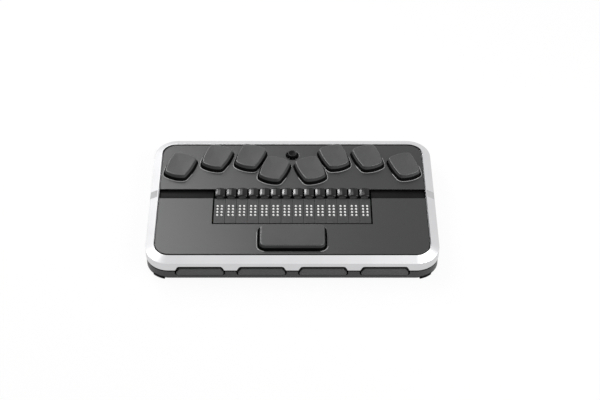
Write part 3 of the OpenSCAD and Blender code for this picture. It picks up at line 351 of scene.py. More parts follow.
def rounded_rect(width, depth, radius, steps=CORNER_STEPS):
    """Rounded rectangle around the origin."""
    points = []
    for quarter, (sx, sy) in enumerate(((1, 1), (-1, 1), (-1, -1), (1, -1))):
        centre = (sx * (width / 2 - radius), sy * (depth / 2 - radius))
        points += arc(centre, radius, quarter * math.pi / 2, (quarter + 1) * math.pi / 2, steps)
    return points


def round_polygon(corners, radius, steps=6):
    """Polygon with rounded corners."""
    points = []
    for i, corner in enumerate(corners):
        corner = Vector(corner)
        to_last = (Vector(corners[i - 1]) - corner).normalized()
        to_next = (Vector(corners[(i + 1) % len(corners)]) - corner).normalized()
        half = to_last.angle(to_next) / 2
        centre = corner + (to_last + to_next).normalized() * radius / math.sin(half)
        first = corner + to_last * radius / math.tan(half) - centre
        last = corner + to_next * radius / math.tan(half) - centre
        start = math.atan2(first.y, first.x)
        turn = math.atan2(first.x * last.y - first.y * last.x, first.dot(last))
        points += arc(centre, radius, start, start + turn, steps)
    return points


def grown(points, distance):
    """Outline moved outward by a distance, or inward where it is negative."""
    moved = []
    for i, point in enumerate(points):
        before = (point - points[i - 1]).normalized()
        after = (points[(i + 1) % len(points)] - point).normalized()
        out_before = Vector((before.y, -before.x))
        out_after = Vector((after.y, -after.x))
        mitre = (out_before + out_after) / (1.0 + out_before.dot(out_after))
        moved.append(point + mitre * distance)
    return moved


def shifted(points, offset):
    """Outline moved by an offset."""
    return [point + Vector(offset) for point in points]


def key_outline(key):
    """Dot key seen from above: four corner arcs joined by four shallow arcs."""
    corners = [Vector((sx * (width / 2 - key.corner_r), sy * (key.reach / 2 - key.corner_r)))
               for sx, sy, width in ((-1, -1, key.front_w), (1, -1, key.front_w),
                                     (1, 1, key.rear_w), (-1, 1, key.rear_w))]
    sides = []
    for k in range(4):
        first, last = corners[k], corners[(k + 1) % 4]
        half = (last - first).length / 2
        swell = key.end_swell if k % 2 == 0 else key.side_swell
        radius = (half * half + swell * swell) / (2 * swell)
        along = (last - first).normalized()
        outward = Vector((along.y, -along.x))
        facing = math.atan2(outward.y, outward.x)
        opening = math.asin(half / radius)
        centre = (first + last) / 2 - outward * (radius - swell)
        sides.append((centre, radius, facing - opening, facing + opening))
    points = []
    for k in range(4):
        centre, radius, start, stop = sides[k]
        turn = (sides[(k + 1) % 4][2] - stop) % (2 * math.pi)
        points += arc(centre, radius + key.corner_r, start, stop, SIDE_STEPS)
        points += arc(corners[(k + 1) % 4], key.corner_r, stop, stop + turn, CORNER_STEPS)[1:-1]
    return points


def key_placer(key, number):
    """Function that takes a point of the key's outline to its place on the plate."""
    low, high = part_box(f"dot_key_{number}")
    side = 1.0 if number in LEFT_DOTS else -1.0
    turn_cos = math.cos(key.lean)
    turn_sin = math.sin(key.lean)

    def lean(point):
        return Vector((side * (turn_cos * point.x + turn_sin * point.y),
                       turn_cos * point.y - turn_sin * point.x))

    leftmost = min(lean(point).x for point in key_outline(key))
    centre = Vector((low.x - leftmost, (low.y + high.y) / 2))
    return lambda point: lean(point) + centre


def turned(points, number):
    """Outline of a key on the plate made counter-clockwise, since the keys on the right are mirrored."""
    return points if number in LEFT_DOTS else points[::-1]


def around_key(key, number, gap, front=0.0):
    """Outline at a gap around a dot key, further out along its front, in the order of the key's outline."""
    half = key.reach / 2
    place = key_placer(key, number)
    return [place(Vector((point.x, point.y - front * clamp(-point.y / half))))
            for point in grown(key_outline(key), gap)]


def lip_path(key, number):
    """Line along the well's front, from the middle of one of the key's sides to the middle of the other."""
    outline = around_key(key, number, key.well_side + key.lip_w / 2, key.well_front)
    half_side = SIDE_STEPS // 2
    return outline[-CORNER_STEPS - half_side:] + outline[:SIDE_STEPS + CORNER_STEPS + half_side]


def opening_ruler(plate):
    """Function that gives a point's distance from the opening in the solid frame, and the way outward."""
    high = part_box("top_plate")[1]
    straight = Vector((high.x - plate.corner_r, high.y - plate.corner_r))

    def measure(point):
        corner = Vector((max(abs(point.x) - straight.x, 0.0), max(abs(point.y) - straight.y, 0.0)))
        way = corner.normalized()
        outward = Vector((math.copysign(way.x, point.x), math.copysign(way.y, point.y)))
        return corner.length - plate.corner_r, outward

    return measure


def band_slimmer(plate):
    """Function that moves a point of the frame's band outward, most along the plate and least at the case."""
    measure = opening_ruler(plate)
    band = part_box("bezel_frame")[1].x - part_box("top_plate")[1].x

    def slim(point):
        distance, way = measure(point)
        front = plate.front_slim if point.y < 0.0 else 0.0
        reach = plate.side_slim * way.x ** 2 + front * way.y ** 2
        return point + way * reach * clamp(1.0 - distance / band)

    return slim


# Meshes from rings of vertices

def level(bm, points, z):
    """Ring of vertices at one height."""
    return [bm.verts.new((point.x, point.y, z)) for point in points]


def stack(bm, rings, materials=None):
    """Bands of faces between rings that follow each other, each with as many vertices."""
    for i in range(len(rings) - 1):
        first, last = rings[i], rings[i + 1]
        for k in range(len(first)):
            after = (k + 1) % len(first)
            face = bm.faces.new((first[k], first[after], last[after], last[k]))
            face.material_index = materials[i] if materials else 0


def fill(bm, rings, up):
    """Flat face with holes, bounded by rings."""
    edges = []
    for ring in rings:
        for i, vertex in enumerate(ring):
            after = ring[(i + 1) % len(ring)]
            edges.append(bm.edges.get((vertex, after)) or bm.edges.new((vertex, after)))
    bmesh.ops.triangle_fill(bm, edges=edges, use_beauty=True, normal=(0.0, 0.0, up))


def rim_levels(points, width, drop, top, outward, steps=5):
    """Outlines and heights of a rounded rim; outward is 1 around a hole and -1 along an outer edge."""
    levels = []
    for i in range(steps + 1):
        angle = math.pi / 2 * i / steps
        levels.append((grown(points, outward * width * (1.0 - math.sin(angle))),
                       top - drop * (1.0 - math.cos(angle))))
    return levels


def slab(bm, loops):
    """Plate from stacks of outlines: the first stack is its outer edge and the rest are its holes."""
    stacks = [[level(bm, points, z) for points, z in loop] for loop in loops]
    for rings in stacks:
        stack(bm, rings)
    fill(bm, [rings[0] for rings in stacks], 1.0)
    fill(bm, [rings[-1] for rings in stacks], -1.0)


def flat_ring(bm, outer, inner, top, bottom):
    """Plate between two outlines."""
    slab(bm, [[(outer, top), (outer, bottom)], [(inner, top), (inner, bottom)]])


def loft(sections, start=0):
    """Closed mesh through sections, which are lists of 3-D points; start is the material of its first end."""
    bm = bmesh.new()
    rings = [[bm.verts.new(point) for point in section] for section in sections]
    stack(bm, rings)
    bm.faces.new(rings[0][::-1]).material_index = start
    bm.faces.new(rings[-1])
    return bm


def bead(bm, path, key):
    """Lip along an open line on the plate, sunk to its middle and pointed at both ends."""
    half_width = key.lip_w / 2
    rings = []
    for i, point in enumerate(path):
        along = (path[min(i + 1, len(path) - 1)] - path[max(i - 1, 0)]).normalized()
        across = Vector((along.y, -along.x))
        width = half_width if 0 < i < len(path) - 1 else half_width * BEAD_TIP
        ring = []
        for k in range(BEAD_SIDES):
            angle = 2 * math.pi * k / BEAD_SIDES
            spot = point + across * width * math.cos(angle)
            rise = key.lip_h * width / half_width * math.sin(angle)
            ring.append(bm.verts.new((spot.x, spot.y, PLATE_TOP + rise)))
        rings.append(ring)
    stack(bm, rings)
    bm.faces.new(rings[0][::-1])
    bm.faces.new(rings[-1])


def end_stations(radius, start):
    """Insets and places of the sections along the rounded front end of a key."""
    stations = []
    for i in range(END_STEPS + 1):
        angle = math.pi / 2 * i / END_STEPS
        stations.append((radius * (1.0 - math.sin(angle)), start + radius * (1.0 - math.cos(angle))))
    return stations


def typing_key(shape, outline, place, foot, top, rise, shares):
    """Mesh of a key with a black foot that is painted shade, a wall and a polished edge, whose top rises or
    sinks to its middle.
    """
    wall_top = top - shape.edge_r
    # Painted shade: the wall's lower share, from the plate up, takes the black finish
    painted_shade_top = PLATE_TOP + (wall_top - PLATE_TOP) * shape.painted_shade_share
    profile = [(outline, foot), (outline, PLATE_TOP),
               (grown(outline, -shape.taper * shape.painted_shade_share), painted_shade_top),
               (grown(outline, -shape.taper), wall_top)]
    bands = [KEY_SHADE_FOOT, KEY_SHADE_FOOT, KEY_WALL]
    for i in range(1, EDGE_STEPS + 1):
        angle = math.pi / 2 * i / EDGE_STEPS
        inset = shape.taper + shape.edge_r * (1.0 - math.cos(angle))
        profile.append((grown(outline, -inset), top - shape.edge_r * (1.0 - math.sin(angle))))
        bands.append(KEY_EDGE)
    crest = profile[-1][0]
    for width in shares:
        profile.append(([point * width for point in crest], top + rise * (1.0 - width * width)))
        bands.append(KEY_TOP)
    bm = bmesh.new()
    rings = [level(bm, [place(point) for point in points], z) for points, z in profile]
    stack(bm, rings, bands)
    bm.faces.new(rings[0]).material_index = KEY_SHADE_FOOT
    bm.faces.new(rings[-1])
    return bm


def soften(piece, edge):
    """Smooth shading with rounded edges, where flat faces stay flat."""
    piece.data.shade_smooth()
    if edge:
        bevel = piece.modifiers.new("Rounded edges", "BEVEL")
        bevel.width = edge
        bevel.segments = 3
        bevel.limit_method = "ANGLE"
        bevel.angle_limit = SHARP_EDGE
    weighted = piece.modifiers.new("Flat faces stay flat", "WEIGHTED_NORMAL")
    weighted.keep_sharp = True


def add_object(name, bm, materials):
    """Object from a mesh under work."""
    mesh = bpy.data.meshes.new(name)
    bm.to_mesh(mesh)
    bm.free()
    for material in materials:
        mesh.materials.append(material)
    made = bpy.data.objects.new(name, mesh)
    bpy.context.scene.collection.objects.link(made)
    return made


def add_piece(name, bm, kinds, body, replaced=(), edge=0.0):
    """Piece from a mesh under work, with its kinds of finish, its body and the solids it stands for."""
    bmesh.ops.recalc_face_normals(bm, faces=bm.faces)
    piece = add_object(name, bm, [finish(kind) for kind in kinds])
    soften(piece, edge)
    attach(piece, body)
    if replaced:
        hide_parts(*replaced)


def dress(node, kind, edge=0.0):
    """Finish, smooth shading and rounded edges for a solid that stays as it is."""
    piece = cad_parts[node]
    piece.data.materials.clear()
    piece.data.materials.append(finish(kind))
    weld = piece.modifiers.new("Joined corners", "WELD")
    weld.merge_threshold = WELD_GAP
    soften(piece, edge)


# Finishes

def add_node(tree, kind, **values):
    """New shader node whose inputs are set, or joined to the output of another node."""
    node = tree.nodes.new("ShaderNode" + kind)
    for name, value in values.items():
        socket = node.inputs[name.replace("_", " ")]
        if isinstance(value, bpy.types.NodeSocket):
            tree.links.new(value, socket)
        else:
            socket.default_value = value
    return node


def surface(name, colour, roughness, metallic=0.0, specular=0.5, spread=0.12, blotch=90.0, grain=2600.0,
            relief=0.06, polish=0.06, stretch=(1.0, 1.0, 1.0)):
    """Material with a fine grain, faint uneven colour and roughness that varies with the grain."""
    material = bpy.data.materials.new(name)
    material.use_nodes = True
    tree = material.node_tree
    shader = tree.nodes["Principled BSDF"]
    shader.inputs["Metallic"].default_value = metallic
    shader.inputs["Specular IOR Level"].default_value = specular

    place = add_node(tree, "TexCoord")
    mapping = add_node(tree, "Mapping", Vector=place.outputs["Object"], Scale=stretch)
    clouds = add_node(tree, "TexNoise", Vector=mapping.outputs["Vector"], Scale=blotch, Detail=6.0)
    colours = add_node(tree, "ValToRGB", Fac=clouds.outputs["Fac"])
    darker, lighter = colours.color_ramp.elements
    darker.position = 0.3
    lighter.position = 0.7
    darker.color = (*(channel * (1.0 - spread) for channel in colour), 1.0)
    lighter.color = (*(min(1.0, channel * (1.0 + spread)) for channel in colour), 1.0)
    tree.links.new(colours.outputs["Color"], shader.inputs["Base Color"])

    specks = add_node(tree, "TexNoise", Vector=mapping.outputs["Vector"], Scale=grain, Detail=3.0)
    shine = add_node(tree, "MapRange", Value=specks.outputs["Fac"], To_Min=roughness - polish,
                     To_Max=roughness + polish)
    tree.links.new(shine.outputs["Result"], shader.inputs["Roughness"])
    bump = add_node(tree, "Bump", Height=specks.outputs["Fac"], Strength=relief, Distance=0.1 * MM)
    tree.links.new(bump.outputs["Normal"], shader.inputs["Normal"])
    return material


def finish(kind):
    """Finish of that kind, which is made on its first use."""
    name = kind + "_finish"
    look = dict(LOOKS[kind])
    colour = getattr(settings("finishes"), look.pop("colour", kind))
    return bpy.data.materials.get(name) or surface(name, colour, **look)


# Stage

def add_lamp(name, place, width, depth, power):
    """Soft rectangular lamp."""
    lamp = bpy.data.lights.new(name, "AREA")
    lamp.shape = "RECTANGLE"
    lamp.size = width
    lamp.size_y = depth
    lamp.energy = power
    holder = bpy.data.objects.new(name, lamp)
    holder.location = place
    holder.rotation_euler = (Vector(LAMP_AIM) - Vector(place)).to_track_quat("-Z", "Y").to_euler()
    bpy.context.scene.collection.objects.link(holder)


def seen_directly(tree):
    """1 for rays from the camera, mirrors and glass, and 0 for rays that light the object."""
    path = add_node(tree, "LightPath")
    seen = path.outputs["Is Camera Ray"]
    for kind in ("Is Glossy Ray", "Is Transmission Ray"):
        either = add_node(tree, "Math")
        either.operation = "MAXIMUM"
        tree.links.new(seen, either.inputs[0])
        tree.links.new(path.outputs[kind], either.inputs[1])
        seen = either.outputs["Value"]
    return seen


def white_floor(glow):
    """Matte white that keeps a shadow and shows white to the camera."""
    material = bpy.data.materials.new("white_floor")
    material.use_nodes = True
    material.cycles.emission_sampling = "NONE"
    tree = material.node_tree
    tree.nodes.clear()
    matte = add_node(tree, "BsdfDiffuse", Color=(0.86, 0.86, 0.86, 1.0))
    white = add_node(tree, "Emission", Color=WHITE)
    amount = add_node(tree, "Math")
    amount.operation = "MULTIPLY"
    amount.inputs[1].default_value = glow
    tree.links.new(seen_directly(tree), amount.inputs[0])
    mixed = add_node(tree, "MixShader", Fac=amount.outputs["Value"])
    tree.links.new(matte.outputs["BSDF"], mixed.inputs[1])
    tree.links.new(white.outputs["Emission"], mixed.inputs[2])
    add_node(tree, "OutputMaterial", Surface=mixed.outputs["Shader"])
    return material


def white_room(light):
    """Surroundings that look white and light the object evenly."""
    world = bpy.data.worlds.new("white_room")
    bpy.context.scene.world = world
    world.use_nodes = True
    world.cycles.sampling_method = "NONE"
    tree = world.node_tree
    background = tree.nodes["Background"]
    background.inputs["Color"].default_value = WHITE
    strength = add_node(tree, "MapRange", Value=seen_directly(tree), To_Min=light, To_Max=1.0)
    tree.links.new(strength.outputs["Result"], background.inputs["Strength"])


class BRAILLE_OT_stage(bpy.types.Operator):
    """Sets up the camera, the lamps, the surroundings and the floor"""
    bl_idname = "braille.stage"
    bl_label = "Stage"

    def execute(self, context):
        stage = settings("stage")
        scene = context.scene
        scene.view_settings.view_transform = "Standard"
        camera = bpy.data.cameras.new("camera")
        camera.lens = 83.3
        camera.sensor_width = 36.0
        camera.shift_x = 0.0128
        viewer = bpy.data.objects.new("camera", camera)
        viewer.location = (0.0, -0.5747, 0.5759)
        viewer.rotation_euler = (math.radians(45.6), 0.0, 0.0)
        scene.collection.objects.link(viewer)
        scene.camera = viewer

        for name, (place, width, depth) in LAMPS.items():
            add_lamp(name + "_lamp", place, width, depth, getattr(stage, name + "_power"))
        white_room(stage.room)

        bm = bmesh.new()
        half = 2.0
        bm.faces.new(level(bm, rectangle(-half, -half, half, half), 0.0))
        floor = add_object("floor", bm, [white_floor(stage.floor_glow)])
        return {"FINISHED"}


class BRAILLE_OT_case(bpy.types.Operator):
    """Finishes the tray, and slims the metal frame and its inserts"""
    bl_idname = "braille.case"
    bl_label = "Case"

    def execute(self, context):
        plate = settings("plate")
        shelf = PLATE_TOP - plate.thick - plate.edge_r
        slim = band_slimmer(plate)
        measure = opening_ruler(plate)
        frame_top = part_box("bezel_frame")[1].z
        insert_mid = middle_of("antenna_windows")[1]
        insert_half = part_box("antenna_windows")[1].y - insert_mid
        dress("base_tray", "tray", edge=0.3 * MM)
        for node, name, kind, slot, edge in (
                ("bezel_frame", "frame_ring", "metal", "satin_frame", FRAME_EDGE),
                ("antenna_windows", "frame_inserts", "insert", "insert_plastic", INSERT_EDGE)):
            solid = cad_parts[node]
            bm = bmesh.new()
            bm.from_mesh(solid.data)
            bm.transform(solid.matrix_world)
            bmesh.ops.remove_doubles(bm, verts=bm.verts, dist=WELD_GAP)
            for vertex in bm.verts:
                if vertex.co.z > frame_top - WELD_GAP:
                    distance, way = measure(vertex.co.xy)
                    rise = plate.lip_rise * (1.0 - max(0.0, way.y) ** 2)
                    vertex.co.z += rise * max(0.0, 1.0 - distance / plate.lip_w)
                if abs(vertex.co.y - insert_mid) < insert_half * INSERT_REACH:
                    vertex.co.y -= (vertex.co.y - insert_mid) * plate.insert_slim / insert_half
                if vertex.co.z > shelf:
                    vertex.co.xy = slim(vertex.co.xy)
            add_piece(name, bm, [kind], "case", [node], edge)
        return {"FINISHED"}


class BRAILLE_OT_plate(bpy.types.Operator):
    """Models the top plate, the black groove in it, the wells, seam and dish whose black floors are painted
    shade, and the lips along the wells, whose light grey is a painted highlight
    """
    bl_idname = "braille.plate"
    bl_label = "Top Plate"

    def execute(self, context):
        plate = settings("plate")
        key = settings("keys")
        bar = settings("bar")
        low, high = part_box("top_plate")
        under = PLATE_TOP - plate.thick
        cells_low, cells_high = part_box("cell_caps")
        window_x = cells_high.x + plate.window_gap
        window_front = cells_low.y - plate.window_front_gap
        groove_mid = middle_of("antenna_windows")[1]
        groove_front = groove_mid - plate.groove_w / 2
        groove_rear = groove_mid + plate.groove_w / 2
        slim = band_slimmer(plate)
        opening = [slim(point) for point in rounded_rect(high.x - low.x, high.y - low.y, plate.corner_r)]
        right = high.x + plate.side_slim - plate.seam_w
        left = -right
        corners = []
        for point in grown(opening, -plate.seam_w):
            nearness = clamp(1.0 + (low.y - point.y) / plate.corner_r)
            corners.append(point + Vector((0.0, plate.seam_front * nearness)))
        right_rear, left_rear, left_front, right_front = (
            corners[k * len(corners) // 4:(k + 1) * len(corners) // 4] for k in range(4))

        front_half = left_front + right_front + [
            Vector((right, groove_front)), Vector((window_x, groove_front)),
            Vector((window_x, window_front)), Vector((-window_x, window_front)),
            Vector((-window_x, groove_front)), Vector((left, groove_front))]
        rear_half = right_rear + left_rear + [Vector((left, groove_rear)), Vector((right, groove_rear))]

        def edge(points):
            rim = rim_levels(points, plate.edge_r, plate.edge_r, PLATE_TOP, -1.0)
            return rim + [(points, under)]

        def hole(points, width, drop):
            return rim_levels(points, width, drop, PLATE_TOP, 1.0) + [(points, under)]

        bm = bmesh.new()
        bar_place = (0.0, middle_of("space_bar")[1])
        bar_outline = shifted(rounded_rect(bar.width, bar.depth, bar.corner_r), bar_place)
        bar_well = grown(bar_outline, plate.bar_well)
        slab(bm, [edge(front_half), hole(bar_well, plate.key_rim, plate.key_rim)])

        stick_place = (0.0, middle_of("joystick_cap")[1])
        dish = circle(stick_place, plate.dish_d / 2 - plate.dish_slope, DISH_STEPS)
        stick_hole = circle(stick_place, plate.stick_hole_d / 2, DISH_STEPS)
        wells = {number: turned(around_key(key, number, key.well_side, key.well_front), number)
                 for number in DOT_NUMBERS}
        key_holes = [hole(wells[number], plate.key_rim, plate.key_rim) for number in DOT_NUMBERS]
        slab(bm, [edge(rear_half), hole(dish, plate.dish_slope, plate.dish_slope / 2)] + key_holes)
        add_piece("top_plate_panel", bm, ["plate"], "case", ["top_plate"])

        # The groove strips are black plastic; the seam ring, the well floors and the dish floor in this piece
        # are painted shade
        bm = bmesh.new()
        floor_top = PLATE_TOP - plate.groove_depth
        for start, stop in ((left, -window_x), (window_x, right)):
            strip = rectangle(start, groove_front, stop, groove_rear)
            slab(bm, [[(strip, floor_top), (strip, low.z)]])
        # Black ring in the seam between frame and plate: painted shade
        flat_ring(bm, opening, corners, PLATE_TOP - plate.seam_sink, under)
        # Black floors of the wells around the dot keys and the bar: painted shade
        well_shade_floor = PLATE_TOP - key.well_depth
        for number in DOT_NUMBERS:
            key_hole = turned(around_key(key, number, plate.hole_gap), number)
            flat_ring(bm, wells[number], key_hole, well_shade_floor, under)
        flat_ring(bm, bar_well, grown(bar_outline, plate.hole_gap), well_shade_floor, under)
        # Black floor of the dish around the nub: painted shade
        flat_ring(bm, dish, stick_hole, PLATE_TOP - plate.dish_depth, under)
        add_piece("plate_groove", bm, ["groove"], "case")

        # Lips along the wells' fronts, and along the bar's left side, left front corner and right front
        # corner, coloured as a painted highlight
        bm = bmesh.new()
        for number in DOT_NUMBERS:
            bead(bm, lip_path(key, number), key)
        bar_lip = grown(bar_well, plate.bar_lip)
        quarter = len(bar_lip) // 4
        left_side = [bar_lip[2 * quarter - 1].lerp(bar_lip[2 * quarter], step / SIDE_STEPS)
                     for step in range(SIDE_STEPS)]
        bead(bm, left_side + bar_lip[2 * quarter:3 * quarter], key)
        bead(bm, bar_lip[3 * quarter:], key)
        add_piece("plate_lips", bm, ["lip"], "case")
        return {"FINISHED"}


class BRAILLE_OT_dot_keys(bpy.types.Operator):
    """Models the eight typing keys with dished tops, walls in a lighter grey that is painted light, and black
    feet that are painted shade
    """
    bl_idname = "braille.dot_keys"
    bl_label = "Dot Keys"

    def execute(self, context):
        key = settings("keys")
        outline = key_outline(key)
        foot = PLATE_TOP - key.skirt
        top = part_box("dot_key_1")[1].z
        # The wall's lighter grey is painted light and its black foot is painted shade
        kinds = ("key_top", "key_wall", "groove", "key_edge")
        for number in DOT_NUMBERS:
            node = f"dot_key_{number}"
            bm = typing_key(key, outline, key_placer(key, number), foot, top, -key.dish, KEY_RINGS)
            add_piece(f"typing_key_{number}", bm, kinds, node, [node])
        return {"FINISHED"}


class BRAILLE_OT_space_bar(bpy.types.Operator):
    """Models the space bar with its rounded edge and crowned top"""
    bl_idname = "braille.space_bar"
    bl_label = "Space Bar"

    def execute(self, context):
        bar = settings("bar")
        low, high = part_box("space_bar")
        middle = Vector((0.0, middle_of("space_bar")[1]))
        outline = rounded_rect(bar.width, bar.depth, bar.corner_r, SIDE_STEPS)
        top = high.z - bar.crown
        bm = typing_key(bar, outline, lambda point: point + middle, low.z, top, bar.crown, BAR_RINGS)
        # The bar's black wall foot is painted shade
        kinds = ("key_top", "thumb", "groove", "key_edge")
        add_piece("typing_bar", bm, kinds, "space_bar", ["space_bar"])
        return {"FINISHED"}


class BRAILLE_OT_cells(bpy.types.Operator):
    """Models the caps of the reading cells and finishes their pins"""
    bl_idname = "braille.cells"
    bl_label = "Reading Cells"

    def execute(self, context):
        cell = settings("cells")
        low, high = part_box("cell_caps")
        pitch = (high.x - low.x + cell.seam) / len(ROUTING_KEYS)
        middle_y = middle_of("cell_caps")[1]
        half_w = (pitch - cell.seam) / 2
        half_d = (high.y - low.y) / 2
        bm = bmesh.new()
        for i in range(len(ROUTING_KEYS)):
            middle = (low.x + half_w + i * pitch, middle_y)
            cap = shifted(rectangle(-half_w, -half_d, half_w, half_d), middle)
            rim = rim_levels(cap, cell.edge_r, cell.edge_r, high.z, -1.0, FINE_RIM_STEPS)
            loops = [rim + [(cap, low.z)]]
            for column in DOT_COLUMNS:
                for row in DOT_ROWS:
                    spot = (middle[0] + column * cell.dot_pitch, middle[1] + row * cell.dot_pitch)
                    bore = circle(spot, cell.bore_d / 2, BORE_STEPS)
                    rim = rim_levels(bore, cell.bore_rim, cell.bore_rim, high.z, 1.0, FINE_RIM_STEPS)
                    loops.append(rim + [(bore, low.z)])
            slab(bm, loops)
        add_piece("reading_caps", bm, ["cap"], "case", ["cell_caps"])
        for number in DOT_NUMBERS:
            dress(f"dot_pins_{number}", "pin")
        return {"FINISHED"}


class BRAILLE_OT_routing_keys(bpy.types.Operator):
    """Models the glossy half-round keys behind the cells"""
    bl_idname = "braille.routing_keys"
    bl_label = "Routing Keys"

    def execute(self, context):
        cell = settings("cells")
        for name in ROUTING_KEYS:
            low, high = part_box(name)
            middle_x, middle_y, _ = middle_of(name)
            bottom = PLATE_TOP - cell.routing_drop
            half = (high.x - low.x) / 2
            flat = cell.routing_flat
            sag = cell.routing_crown_r - math.sqrt(cell.routing_crown_r ** 2 - flat ** 2)
            shoulder = high.z - cell.routing_flank
            corners = [(-half, bottom), (half, bottom), (half, shoulder), (flat, high.z - sag), (0.0, high.z),
                       (-flat, high.z - sag), (-half, shoulder)]
            section = round_polygon([(middle_x + x, z) for x, z in corners], cell.routing_round)
            reach = (high.y - low.y) / 2
            front_end = end_stations(cell.routing_edge_r, low.y)
            stations = front_end + [(0.0, middle_y + reach * step) for step in ROUTING_RINGS]
            stations += [(inset, 2 * middle_y - y) for inset, y in reversed(front_end)]
            rise = high.z - PLATE_TOP
            sections = []
            for inset, y in stations:
                fall = cell.routing_fall * ((y - middle_y) / reach) ** 2
                sections.append([(point.x, y, point.y - fall * max(0.0, point.y - PLATE_TOP) / rise)
                                 for point in grown(section, -inset)])
            # The first end of each routing key takes the lighter grey that is painted light
            add_piece(name.replace("routing", "cursor"), loft(sections, start=1), ("gloss", "nose"), name,
                      [name])
        return {"FINISHED"}


class BRAILLE_OT_thumb_keys(bpy.types.Operator):
    """Models the four keys in the front edge"""
    bl_idname = "braille.thumb_keys"
    bl_label = "Thumb Keys"

    def execute(self, context):
        front = settings("front")
        for number in THUMB_NUMBERS:
            node = f"thumb_key_{number}"
            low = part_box(node)[0]
            middle_x, _, middle_z = middle_of(node)
            middle_z -= front.thumb_sink
            half = front.thumb_w / 2
            top_half = front.thumb_top_w / 2
            bottom = middle_z - front.thumb_h / 2
            top = middle_z + front.thumb_h / 2
            shoulder = top - front.thumb_slant
            corners = [(-half, bottom), (half, bottom), (half, shoulder), (top_half, top), (-top_half, top),
                       (-half, shoulder)]
            section = round_polygon([(middle_x + x, z) for x, z in corners], front.thumb_r)
            back = low.y + front.thumb_depth
            stations = end_stations(front.thumb_edge_r, low.y)
            stations += [(0.0, back), (-front.thumb_flange, back),
                         (-front.thumb_flange, back + front.thumb_flange_t)]
            sections = [[(point.x, y, point.y) for point in grown(section, -inset)] for inset, y in stations]
            add_piece(f"edge_key_{number}", loft(sections), ["thumb"], node, [node])
        return {"FINISHED"}


class BRAILLE_OT_joystick(bpy.types.Operator):
    """Models the joystick's notched nub and finishes its gimbal"""
    bl_idname = "braille.joystick"
    bl_label = "Joystick"

    def execute(self, context):
        front = settings("front")
        low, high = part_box("joystick_cap")
        radius = (high.x - low.x) / 2
        middle_y = middle_of("joystick_cap")[1]
        crown = radius - front.nub_taper
        rim = crown - front.nub_rim
        under = PLATE_TOP - front.nub_sink
        profile = [(front.nub_neck, low.z), (front.nub_neck, under),
                   (radius - front.nub_foot, under), (radius, under + front.nub_foot),
                   (crown, high.z - front.nub_round), (crown - front.nub_soft, high.z - front.nub_soft),
                   (crown - front.nub_round, high.z), (rim, high.z - front.nub_soft),
                   (rim - front.nub_step_w, high.z - front.nub_step_h)]
        profile += [(rim * width, high.z - front.nub_dish * depth) for width, depth in NUB_RINGS]
        bands = [1 if i in NUB_POLISHED else 0 for i in range(len(profile) - 1)]
        steps = front.nub_grips * NOTCH_STEPS
        bm = bmesh.new()
        rings = []
        for distance, z in profile:
            ring = []
            for i in range(steps):
                angle = 2 * math.pi * i / steps
                notch = front.nub_notch * max(0.0, math.cos(front.nub_grips * angle)) ** 2
                reach = distance - (notch if distance > rim and z > under else 0.0)
                ring.append(bm.verts.new((reach * math.cos(angle), middle_y + reach * math.sin(angle), z)))
            rings.append(ring)
        stack(bm, rings, bands)
        bm.faces.new(rings[0])
        bm.faces.new(rings[-1])
        add_piece("joystick_nub", bm, ["groove", "gloss"], "joystick_cap", ["joystick_cap"])
        for node in ("joystick_base", "joystick_yoke", "joystick_stem"):
            dress(node, "steel", edge=0.08 * MM)
        return {"FINISHED"}


class BRAILLE_OT_underside(bpy.types.Operator):
    """Finishes the feet and the case screws"""
    bl_idname = "braille.underside"
    bl_label = "Feet and Screws"

    def execute(self, context):
        dress("rubber_feet", "rubber", edge=0.15 * MM)
        dress("case_screws", "steel", edge=0.1 * MM)
        return {"FINISHED"}


class BRAILLE_OT_side_controls(bpy.types.Operator):
    """Finishes the power button and the charging socket"""
    bl_idname = "braille.side_controls"
    bl_label = "Side Controls"

    def execute(self, context):
        dress("power_button", "thumb", edge=0.2 * MM)
        dress("usb_socket", "steel")
        return {"FINISHED"}


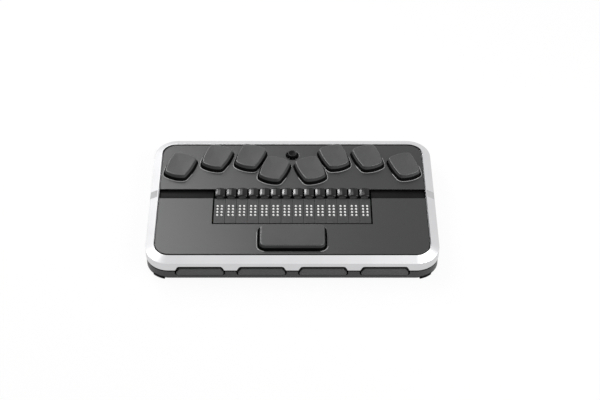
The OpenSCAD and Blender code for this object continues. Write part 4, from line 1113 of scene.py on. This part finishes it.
class BRAILLE_OT_inner_works(bpy.types.Operator):
    """Finishes the boards, switches, springs, reeds, cell bodies and battery"""
    bl_idname = "braille.inner_works"
    bl_label = "Inner Works"

    def execute(self, context):
        for node in ("key_board", "front_board", "main_board", "cell_backplane"):
            dress(node, "board")
        for node in ("key_switches", "side_switches", "cell_frames", "routing_guide"):
            dress(node, "groove")
        for node in ("return_springs", "routing_domes"):
            dress(node, "steel")
        dress("piezo_reeds", "reed")
        dress("battery_pack", "foil", edge=0.4 * MM)
        return {"FINISHED"}


class BRAILLE_PT_pieces(bpy.types.Panel):
    """Lists the pieces that can be made"""
    bl_idname = "BRAILLE_PT_pieces"
    bl_label = "Braille Display"
    bl_space_type = "VIEW_3D"
    bl_region_type = "UI"
    bl_category = "Braille Display"

    def draw(self, context):
        for operator in OPERATORS:
            self.layout.operator(operator.bl_idname)


GROUPS = {
    "keys": BrailleKeySizes,
    "bar": BrailleBarSizes,
    "plate": BraillePlateSizes,
    "cells": BrailleCellSizes,
    "front": BrailleFrontSizes,
    "finishes": BrailleFinishes,
    "stage": BrailleStage,
}
OPERATORS = (
    BRAILLE_OT_stage, BRAILLE_OT_case, BRAILLE_OT_plate, BRAILLE_OT_dot_keys, BRAILLE_OT_space_bar,
    BRAILLE_OT_cells, BRAILLE_OT_routing_keys, BRAILLE_OT_thumb_keys, BRAILLE_OT_joystick,
    BRAILLE_OT_underside, BRAILLE_OT_side_controls, BRAILLE_OT_inner_works)
CLASSES = (*GROUPS.values(), *OPERATORS, BRAILLE_PT_pieces)


def register():
    """Adds the classes, and the settings to the scene."""
    for item in CLASSES:
        bpy.utils.register_class(item)
    for kind, group in GROUPS.items():
        setattr(bpy.types.Scene, "braille_" + kind, PointerProperty(type=group))


def unregister():
    """Takes both away again."""
    for kind in GROUPS:
        delattr(bpy.types.Scene, "braille_" + kind)
    for item in reversed(CLASSES):
        bpy.utils.unregister_class(item)


def main():
    """Makes the stage and every piece."""
    register()
    for operator in OPERATORS:
        getattr(bpy.ops.braille, operator.bl_idname.split(".")[1])()


if __name__ == "__main__":
    main()
